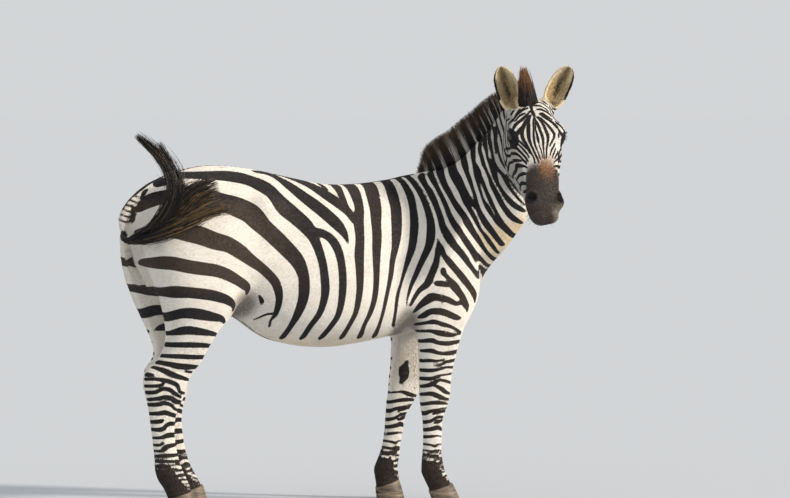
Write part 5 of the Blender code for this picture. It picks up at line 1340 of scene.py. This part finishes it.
def strand_piece(name, lines, widths, colours, seats, material, slot, *replaced):
    """Strands through these points (strand, step, 3), with a width and a colour for each point."""
    n, steps = lines.shape[:2]
    run = unit(np.gradient(lines, axis=1))
    across = unit(np.cross(run, np.array((0.31, -0.87, 0.39))))
    up = np.cross(run, across)
    points = []
    for turn in (0.5, 2.6, 4.7):
        points.append(lines + (across * math.cos(turn) + up * 0.6 * math.sin(turn)) * widths[:, :, None] / 2)
    points = np.stack(points, 2).reshape(n, -1, 3)
    pattern = []
    for k in range(steps - 1):
        for i in range(3):
            p, q = 3 * k + i, 3 * k + (i + 1) % 3
            pattern += [(p, q, q + 3), (p, q + 3, p + 3)]
    last = 3 * (steps - 1)
    pattern += [(2, 1, 0), (last, last + 1, last + 2)]
    faces = (np.array(pattern)[None] + (np.arange(n) * 3 * steps)[:, None, None]).reshape(-1, 3)
    obj = new_piece(name, points.reshape(-1, 3), faces)
    layer = obj.data.attributes.new("hair", "FLOAT_COLOR", "POINT")
    shades = np.repeat(colours.reshape(-1, 3), 3, axis=0)
    layer.data.foreach_set("color", np.hstack([shades, np.ones((len(shades), 1))]).astype(np.float32).ravel())
    patch = np.stack([np.tile(np.array((-1, 0, 1)), steps),
                      np.repeat(np.linspace(-1, 1, steps), 3)], 1) * PATCH_HALF
    unwrap(obj, (seats[:, None] + patch[None]).reshape(-1, 2))
    obj.data.materials.append(material)
    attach(obj, "root")
    if replaced:
        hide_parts(*replaced)
    return obj


def hair_material(name, roughness):
    """Long hair coloured by the value kept on each point of its strands."""
    material, tree, shader = new_material(name, roughness)
    reader = tree.nodes.new("ShaderNodeAttribute")
    reader.attribute_name = "hair"
    tree.links.new(reader.outputs["Color"], shader.inputs["Base Color"])
    shader.inputs["Specular IOR Level"].default_value = 0.35
    return material


# The mane stands upright from the crest, 11 cm tall, clipped short at the withers; the neck's bands run on up
# into it and its tips are weathered brown.  Foot, height, lean, half thickness:
MANE = (
    (0.00, 0.500, 0.000, 1.262, 0.012, -0.36, 0.00, 0.93, 0.008),
    (0.06, 0.530, 0.000, 1.270, 0.050, -0.38, 0.00, 0.92, 0.010),
    (0.14, 0.562, -0.005, 1.280, 0.090, -0.40, 0.02, 0.91, 0.012),
    (0.28, 0.610, -0.022, 1.305, 0.110, -0.44, 0.05, 0.90, 0.013),
    (0.43, 0.657, -0.052, 1.337, 0.112, -0.44, 0.06, 0.90, 0.013),
    (0.58, 0.692, -0.097, 1.387, 0.106, -0.44, 0.07, 0.89, 0.013),
    (0.70, 0.722, -0.152, 1.442, 0.096, -0.43, 0.05, 0.90, 0.013),
    (0.82, 0.745, -0.212, 1.500, 0.082, -0.38, 0.03, 0.92, 0.013),
    (0.92, 0.785, -0.262, 1.545, 0.076, -0.20, 0.06, 0.96, 0.012),
    (1.00, 0.821, -0.306, 1.566, 0.080, -0.02, 0.10, 0.99, 0.010),
)
count = 8500
at = rng.random(count)
foot = along(at, MANE)
ahead = along(np.minimum(at + 0.01, 1), MANE)[:, :3] - along(np.maximum(at - 0.01, 0), MANE)[:, :3]
ahead = unit(ahead)
lean = unit(foot[:, 4:7])
across = unit(np.cross(lean, ahead))
beside = rng.uniform(-1, 1, count)
start = foot[:, :3] + across * (beside * foot[:, 7])[:, None]
tall = foot[:, 3] * rng.uniform(0.72, 1.10, count) + 0.008
stray = rng.normal(0, 0.07, count)
rise = np.linspace(0, 1, 4)[None, :, None]
lines = (
    start[:, None] + lean[:, None] * tall[:, None, None] * rise
    + across[:, None] * (beside * 0.004 + rng.normal(0, 0.004, count))[:, None, None] * rise**2
    + ahead[:, None] * (stray * tall)[:, None, None] * rise**1.5
)
widths = np.array((0.0030, 0.0028, 0.0020, 0.0007))[None] * rng.uniform(0.8, 1.2, (count, 1))
depth = markings(foot[:, :3] + across * -0.02 + lean * -0.004)[0] + 0.0018
streak = ease(np.sin(at * 330 + 1.5 * np.sin(at * 90)), 0.72, 0.9)
by_head = ease(at, 0.74, 0.84)
depth = depth * (1 - by_head) + (0.006 - 0.012 * streak) * by_head
black = ease(depth + rng.normal(0, 0.0022, count), -0.001, 0.001)[:, None, None]
tone = rng.uniform(0.75, 1.25, (count, 1, 1))
tip = rise**2.5
pale_hair = np.array((0.52, 0.49, 0.45)) * (1 - tip) + np.array((0.20, 0.13, 0.07)) * tip
dark_hair = np.array((0.014, 0.012, 0.012)) * (1 - tip) + np.array((0.075, 0.045, 0.024)) * tip
colours = np.clip((pale_hair * (1 - black) + dark_hair * black) * tone, 0, 1)
strand_piece("mane_hair", lines, widths, colours, box_unwrap(start, across),
             hair_material("mane hair", 0.55), "black_hair", "mane")

# The forelock is a tuft between the ears: black at its foot, rusty brown at its tip.
count = 1800
base, tip_at = np.array((0.808, -0.372, 1.548)), np.array((0.783, -0.380, 1.690))
round_, far = rng.uniform(0, 2 * math.pi, count), np.sqrt(rng.random(count))
sink = -0.020 * (1 - far * np.abs(np.cos(round_)))
start = base + np.stack([0.044 * far * np.cos(round_), 0.024 * far * np.sin(round_), sink], 1)
reach = (1.06 - 0.50 * rng.random(count) ** 0.8 * (0.5 + 0.6 * far))[:, None, None]
rise = np.linspace(0, 1, 5)[None, :, None]
close_in = 1 - 0.80 * rise**1.4
lines = base + (tip_at - base) * reach * rise + (start - base)[:, None] * close_in
lines = lines + rng.normal(0, 0.0070, (count, 1, 3)) * rise**1.5
widths = np.array((0.0030, 0.0030, 0.0026, 0.0018, 0.0007))[None] * rng.uniform(0.8, 1.2, (count, 1))
height = ease(np.broadcast_to(reach * rise, (count, 5, 1)) + rng.normal(0, 0.06, (count, 1, 1)), 0.35, 0.95)
colours = np.array((0.015, 0.012, 0.011)) * (1 - height) + np.array((0.26, 0.12, 0.045)) * height
colours = np.clip(colours * rng.uniform(0.7, 1.3, (count, 1, 1)), 0, 1)
strand_piece("forelock_hair", lines, widths, colours, box_unwrap(start, start - base),
             hair_material("forelock hair", 0.55), "black_hair", "forelock")

# The tail's long hair is caught in a swing: one lock thrown up over the croup, three fanned across the haunch.
# Black, with straw-coloured hair in the fan.  Share of the strands, how straw-coloured, and the lock's line:
LOCKS = (
    (0.40, 0.05, (
        ((-0.738, -0.046, 1.070), 0.016), ((-0.752, -0.080, 1.040), 0.016), ((-0.740, -0.158, 1.040), 0.022),
        ((-0.686, -0.252, 1.085), 0.036), ((-0.645, -0.296, 1.160), 0.044), ((-0.632, -0.312, 1.235), 0.042),
        ((-0.652, -0.306, 1.300), 0.032), ((-0.700, -0.292, 1.370), 0.020), ((-0.772, -0.276, 1.438), 0.010),
    )),
    (0.09, 0.05, (
        ((-0.700, -0.235, 1.075), 0.020), ((-0.648, -0.292, 1.150), 0.024), ((-0.622, -0.305, 1.230), 0.022),
        ((-0.630, -0.306, 1.300), 0.018), ((-0.655, -0.300, 1.355), 0.014), ((-0.690, -0.292, 1.410), 0.012),
    )),
    (0.23, 0.34, (
        ((-0.738, -0.046, 1.070), 0.014), ((-0.752, -0.080, 1.040), 0.014), ((-0.740, -0.158, 1.040), 0.020),
        ((-0.694, -0.236, 1.060), 0.032), ((-0.618, -0.296, 1.095), 0.036), ((-0.535, -0.312, 1.130), 0.028),
        ((-0.470, -0.320, 1.150), 0.018), ((-0.405, -0.322, 1.160), 0.018),
    )),
    (0.16, 0.28, (
        ((-0.735, -0.165, 1.040), 0.018), ((-0.700, -0.228, 1.070), 0.022), ((-0.655, -0.262, 1.110), 0.026),
        ((-0.585, -0.308, 1.160), 0.034), ((-0.520, -0.320, 1.198), 0.028), ((-0.450, -0.324, 1.222), 0.018),
    )),
    (0.12, 0.12, (
        ((-0.700, -0.230, 1.075), 0.022), ((-0.640, -0.282, 1.150), 0.034), ((-0.590, -0.310, 1.205), 0.036),
        ((-0.530, -0.320, 1.242), 0.026), ((-0.462, -0.324, 1.268), 0.016),
    )),
)
total = 3300
lines, colours, widths = [], [], []
STRAND_TAPER = np.array((0.0026, 0.0028, 0.0028, 0.0027, 0.0025, 0.0022, 0.0018, 0.0013, 0.0006))
steps = len(STRAND_TAPER)
black_hair, straw_hair = np.array((0.016, 0.013, 0.012)), np.array((0.20, 0.125, 0.055))
for share, straw, lock in LOCKS:
    count = round(total * share)
    rows = [[i, *c, r] for i, (c, r) in enumerate(lock)]
    first = rng.uniform(0, 0.35, count) * (len(lock) - 1)
    last = (len(lock) - 1) * (1 - 0.42 * rng.random(count) ** 1.6)
    at = first[:, None] + (last - first)[:, None] * np.linspace(0, 1, steps)[None]
    centre = along(at.ravel(), rows).reshape(count, steps, 4)
    ahead = unit(np.gradient(centre[:, :, :3], axis=1))
    one = unit(np.cross(ahead, np.array((0.3, -0.9, 0.2))))
    two = np.cross(ahead, one)
    round_, far = rng.uniform(0, 2 * math.pi, (count, 1)), np.sqrt(rng.random((count, 1)))
    # strands gather in wisps towards their ends
    wisp = rng.integers(0, 7, count)
    wisp_way = rng.normal(0, 1, (7, 2))[wisp]
    late = np.linspace(0, 1, steps)[None] ** 2
    loose = rng.random((count, 1)) < 0.16
    spread = centre[:, :, 3] * (0.85 + loose * 0.95 * np.linspace(0, 1, steps)[None])
    across_one = spread * (far * np.cos(round_) * (1 - 0.75 * late) + 0.85 * wisp_way[:, :1] * late)
    across_two = spread * 0.62 * (far * np.sin(round_) * (1 - 0.75 * late) + 0.55 * wisp_way[:, 1:] * late)
    waver_way = rng.normal(0, 0.004, (count, 1, 3)) * late[:, :, None]
    line = centre[:, :, :3] + one * across_one[:, :, None] + two * across_two[:, :, None] + waver_way
    lines.append(line)
    widths.append(STRAND_TAPER[None] * rng.uniform(0.75, 1.2, (count, 1)))
    is_straw = ((rng.random(count) < straw)[:, None, None]
                * ease(np.linspace(0, 1, steps), 0.02, 0.4)[None, :, None])
    tone = rng.uniform(0.6, 1.4, (count, 1, 1))
    colours.append(np.clip((black_hair * (1 - is_straw) + straw_hair * is_straw) * tone, 0, 1))
lines, widths, colours = np.concatenate(lines), np.concatenate(widths), np.concatenate(colours)
strand_piece("tail_hair", lines, widths, colours,
             box_unwrap(lines[:, 0], np.tile((0.0, -1.0, 0.1), (len(lines), 1))),
             hair_material("tail hair", 0.45), "tail_hair", "tail_switch")

# ================================================================ the ears' inner hair
# Long creamy hair lines each ear's cup and is darker down its middle.  It grows from the cup's wall, up and out
# over the opening from both rims, as thin strands.
count = 1500
ear_hair_material = hair_material("ear hair", 0.7)
for name, (base, tip_at, opening) in zip(("right", "left"), EARS):
    base_, tall, up, front, side_way = ear_axes(base, tip_at, opening)
    at = rng.beta(1.2, 1.5, count) * 0.80 + 0.10
    beside = rng.uniform(-0.93, 0.93, count)
    cup = along(at, EAR)
    wide, deep = cup[:, 0] * (EAR_HALF_WIDTH - 0.006), cup[:, 1] * (EAR_CUP - 0.004)
    inward = -deep * np.sqrt(np.maximum(1 - beside**2, 0)) - EAR_CUP * 0.55 * np.sin(np.pi * at)
    start = base_ + up * (at * tall)[:, None] + side_way * (beside * wide)[:, None] + front * inward[:, None]
    # hair runs up and out over the cup from both of its rims
    way = up * 0.8 + front * 0.45 - side_way * (beside * 0.55)[:, None] + rng.normal(0, 0.16, (count, 3))
    way = unit(way)
    far = rng.uniform(0.012, 0.026, count) * (1 - 0.5 * ease(at, 0.6, 1.0))
    rise = np.linspace(0, 1, 3)[None, :, None]
    lines = start[:, None] + way[:, None] * far[:, None, None] * rise
    widths = np.array((0.0022, 0.0018, 0.0006))[None] * rng.uniform(0.8, 1.2, (count, 1))
    dark_middle = (ease(0.42 - np.abs(beside + 0.05), 0.0, 0.30)
                   * ease(at, 0.12, 0.30) * (1 - ease(at, 0.75, 0.90)))
    is_dark = (rng.random(count) < 0.85 * dark_middle)[:, None, None]
    colours = np.array((0.66, 0.52, 0.30)) * (1 - is_dark) + np.array((0.085, 0.060, 0.035)) * is_dark
    colours = np.clip(colours * rng.uniform(0.7, 1.2, (count, 1, 1)), 0, 1) * np.ones((1, 3, 1))
    strand_piece("ear_hair_" + name, lines, widths, colours, box_unwrap(start, np.tile(front, (count, 1))),
                 ear_hair_material, "coat")

# ================================================================ the lashes and whiskers
# Black lashes stand out over each eye; a few stiff whiskers grow on the lips and the chin.  Both are single
# tapered hairs, rooted in the lids and the skin of the lips.
count = 46
lines, seats = [], []
for sign in (1, -1):
    mirror = np.array((1.0, sign, 1.0))
    at = np.linspace(-1, 1, count)
    start = EYE_IN_HEAD + EYE_OUT * 0.0155 + LID_WAY * (0.0195 * at)[:, None]
    start = start + LID_UP * (0.0165 - 0.010 * at**2)[:, None]
    way = EYE_OUT * 0.85 + LID_UP * 0.12 + LID_WAY * (0.45 * at)[:, None] + rng.normal(0, 0.10, (count, 3))
    way = unit(way)
    rise = np.linspace(0, 1, 4)[None, :, None]
    line = (start[:, None] + way[:, None] * rise * rng.uniform(0.010, 0.018, (count, 1, 1))
            - LID_UP * 0.005 * rise**2)
    line = line * mirror
    lines.append(POLL + line[:, :, :1] * NOSE_WAY + line[:, :, 1:2] * HEAD_LEFT + line[:, :, 2:] * BROW_WAY)
whiskers = 40
a_, turn = rng.uniform(0.44, 0.50, whiskers), rng.uniform(-1.0, 1.0, whiskers)
start = np.stack([a_, 0.047 * turn, -0.128 + 0.012 * turn**2 - rng.uniform(0, 0.012, whiskers)], 1)
way = np.stack([rng.uniform(0.2, 0.8, whiskers), turn * 0.6, rng.uniform(-0.9, -0.3, whiskers)], 1)
way = unit(way)
far = rng.uniform(0.014, 0.030, (whiskers, 1, 1))
line = start[:, None] + way[:, None] * np.linspace(0, 1, 4)[None, :, None] * far
lines.append(POLL + line[:, :, :1] * NOSE_WAY + line[:, :, 1:2] * HEAD_LEFT + line[:, :, 2:] * BROW_WAY)
lines = np.concatenate(lines)
widths = np.tile((0.0011, 0.0010, 0.0008, 0.0005), (len(lines), 1))
colours = np.full((len(lines), 4, 3), 0.02)
strand_piece("lashes_and_whiskers", lines, widths, colours, box_unwrap(lines[:, 0], lines[:, 1] - lines[:, 0]),
             hair_material("lash hair", 0.5), "black_hair")

# ================================================================ the eyes
# The eyes are dark brown, wet and glossy balls as deep as real ones, with a level oval pupil and a slight bulge
# over it.  Each is set in its socket, and the lids close over its rim.
eye_material, tree, shader = new_material("dark eye", 0.08)
reader = tree.nodes.new("ShaderNodeAttribute")
reader.attribute_name = "pupil"
mix = tree.nodes.new("ShaderNodeMix")
mix.data_type = "RGBA"
mix.inputs["A"].default_value = (0.022, 0.011, 0.006, 1)
mix.inputs["B"].default_value = (0.002, 0.002, 0.0025, 1)
tree.links.new(reader.outputs["Fac"], mix.inputs["Factor"])
tree.links.new(mix.outputs["Result"], shader.inputs["Base Color"])
shader.inputs["Coat Weight"].default_value = 1.0
shader.inputs["Coat Roughness"].default_value = 0.02
for name, sign in (("left", 1), ("right", -1)):
    bm = bmesh.new()
    bmesh.ops.create_uvsphere(bm, u_segments=64, v_segments=40, radius=EYE_RADIUS - 0.0004)
    bmesh.ops.triangulate(bm, faces=bm.faces)
    ball_points = np.array([v.co for v in bm.verts])
    ball_faces = np.array([[v.index for v in f.verts] for f in bm.faces])
    bm.free()
    centre = on_head(EYE_IN_HEAD[0], sign * EYE_IN_HEAD[1], EYE_IN_HEAD[2])
    gaze, wide, tall = ((v * (1, sign, 1)) @ HEAD_AXES for v in (EYE_OUT, LID_WAY, LID_UP))
    pupil = 1 - ease(np.hypot(ball_points @ wide / 0.0085, ball_points @ tall / 0.0055), 0.9, 1.1)
    pupil *= ball_points @ gaze > 0
    bulge = 0.0012 * ease(ball_points @ gaze, 0.014, EYE_RADIUS)
    eye = new_piece("eye_ball_" + name, centre + ball_points * (1 + bulge / EYE_RADIUS)[:, None], ball_faces)
    eye.data.attributes.new("pupil", "FLOAT", "POINT").data.foreach_set("value", pupil.astype(np.float32))
    eye.data.materials.append(eye_material)
    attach(eye, "root")
    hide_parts("eye_" + name)

# ================================================================ the hooves
# Small upright hooves of horn that widen to the ground, ringed by their growth and worn pale and dusty.  Each
# grows round the foot from the coronet, and stands flat on the floor.
hoof_material, tree, shader = new_material("hoof horn", 0.55)
where, noise = tree.nodes.new("ShaderNodeTexCoord"), tree.nodes.new("ShaderNodeTexNoise")
ramp = tree.nodes.new("ShaderNodeValToRGB")
stretch = tree.nodes.new("ShaderNodeMapping")
stretch.inputs["Scale"].default_value = (9.0, 9.0, 60.0)
noise.inputs["Scale"].default_value, noise.inputs["Detail"].default_value = 1.6, 5.0
ramp.color_ramp.elements[0].position, ramp.color_ramp.elements[0].color = 0.30, (0.050, 0.036, 0.026, 1)
ramp.color_ramp.elements[1].position, ramp.color_ramp.elements[1].color = 0.75, (0.30, 0.225, 0.15, 1)
tree.links.new(where.outputs["Object"], stretch.inputs["Vector"])
tree.links.new(stretch.outputs["Vector"], noise.inputs["Vector"])
tree.links.new(noise.outputs["Fac"], ramp.inputs["Fac"])
tree.links.new(ramp.outputs["Color"], shader.inputs["Base Color"])
relief = tree.nodes.new("ShaderNodeBump")
relief.inputs["Strength"].default_value, relief.inputs["Distance"].default_value = 0.3, 0.001
tree.links.new(noise.outputs["Fac"], relief.inputs["Height"])
tree.links.new(relief.outputs["Normal"], shader.inputs["Normal"])
for name, heel, toe, y0, (back_x, back_z), (front_x, front_z) in (
    ("hind_right", -0.582, -0.470, -0.13, (-0.594, 0.046), (-0.492, 0.078)),
    ("hind_left", -0.446, -0.334, 0.13, (-0.460, 0.046), (-0.358, 0.078)),
    ("front_right", 0.508, 0.622, -0.13, (0.490, 0.044), (0.586, 0.076)),
    ("front_left", 0.376, 0.490, 0.13, (0.370, 0.044), (0.466, 0.076)),
):
    levels = np.array((0.0, 0.02, 0.06, *np.linspace(0.10, 0.94, 24), 0.98, 1.0))
    turn = np.linspace(0, 2 * math.pi, 64, endpoint=False)
    level, turn = np.meshgrid(levels, turn, indexing="ij")
    back, front = heel + (back_x - heel) * level, toe + (front_x - toe) * level
    rings = 0.0005 * np.sin(level * 46) * ease(level, 0.08, 0.2) * (1 - ease(level, 0.85, 0.95))
    inset = 0.002 * (1 - ease(level, 0.0, 0.06)) + 0.0015 * ease(level, 0.94, 1.0) - rings
    half = 0.046 - 0.008 * level - inset
    c, s = np.cos(turn), np.sin(turn)
    frog = 1.0 - 0.16 * np.exp(-(((turn - math.pi) / 0.22) ** 2)) * (1 - level)        # cleft between the heels
    hx = (back + front) / 2 + ((front - back) / 2 - inset) * c * frog
    hy = y0 + half * s * np.where(c > 0, 1.0, 1.0 + 0.10 * c * c)
    top = back_z + (front_z - back_z) * (hx - back_x) / (front_x - back_x)
    points = np.stack([hx, hy, top * level], 2).reshape(-1, 3)
    count, around = len(levels), 64
    i, j = np.meshgrid(np.arange(count - 1), np.arange(around), indexing="ij")
    p, q = i * around + j, i * around + (j + 1) % around
    quads = np.stack([p, q, q + around, p + around], 2).reshape(-1, 4)
    faces = np.concatenate([quads[:, (0, 1, 2)], quads[:, (0, 2, 3)]])
    sole, crown = len(points), len(points) + 1
    middles = ((heel + toe) / 2, y0, 0.0), ((back_x + front_x) / 2, y0, (back_z + front_z) / 2)
    points = np.vstack([points, *([m] for m in middles)])
    rim = np.arange(around)
    after = (rim + 1) % around
    lid = (count - 1) * around
    faces = np.concatenate([faces, np.stack([after, rim, np.full(around, sole)], 1),
                            np.stack([lid + rim, lid + after, np.full(around, crown)], 1)])
    hoof = new_piece("hoof_horn_" + name, points, faces)
    hoof.data.materials.append(hoof_material)
    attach(hoof, "root")
    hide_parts("hoof_" + name)

# ================================================================ floor, light and camera
# A plain pale floor under a plain sky, and one low warm soft light from ahead of the animal.
floor_mesh = bpy.data.meshes.new("floor")
floor_mesh.from_pydata([(-300, -300, 0), (300, -300, 0), (300, 300, 0), (-300, 300, 0)], [], [(0, 1, 2, 3)])
floor = bpy.data.objects.new("floor", floor_mesh)
bpy.context.scene.collection.objects.link(floor)
floor_material, tree, shader = new_material("pale floor", 1.0, (0.596, 0.626, 0.664))
shader.inputs["Specular IOR Level"].default_value = 0.0
floor_mesh.materials.append(floor_material)

world = bpy.data.worlds.new("studio")
bpy.context.scene.world = world
world.use_nodes = True
world.node_tree.nodes["Background"].inputs["Color"].default_value = (0.65, 0.665, 0.68, 1.0)
world.node_tree.nodes["Background"].inputs["Strength"].default_value = 1.0

sun = bpy.data.lights.new("low warm light", "SUN")
sun.energy, sun.angle, sun.color = 3.3, math.radians(7), (1.0, 0.90, 0.78)
lamp = bpy.data.objects.new("low warm light", sun)
bpy.context.scene.collection.objects.link(lamp)
lamp.rotation_euler = Vector((0.72, -0.58, 0.42)).to_track_quat("Z", "Y").to_euler()

VIEW_TURN, TILT = math.radians(-22), math.radians(1.72)
CAMERA_AWAY, CAMERA_ASIDE, CAMERA_UP = 20.2, 0.37, 1.60
back = Vector((math.sin(VIEW_TURN), -math.cos(VIEW_TURN), 0))
right = Vector((math.cos(VIEW_TURN), math.sin(VIEW_TURN), 0))
camera_data = bpy.data.cameras.new("camera")
camera_data.lens, camera_data.sensor_width, camera_data.clip_end = 236.5, 36.0, 600.0
camera = bpy.data.objects.new("camera", camera_data)
bpy.context.scene.collection.objects.link(camera)
camera.location = back * CAMERA_AWAY + right * CAMERA_ASIDE + Vector((SHIFT[0], SHIFT[1], CAMERA_UP))
aim = -back * math.cos(TILT) - Vector((0, 0, math.sin(TILT)))
camera.rotation_euler = aim.to_track_quat("-Z", "Y").to_euler()
bpy.context.scene.camera = camera
bpy.context.scene.view_settings.view_transform = "Standard"
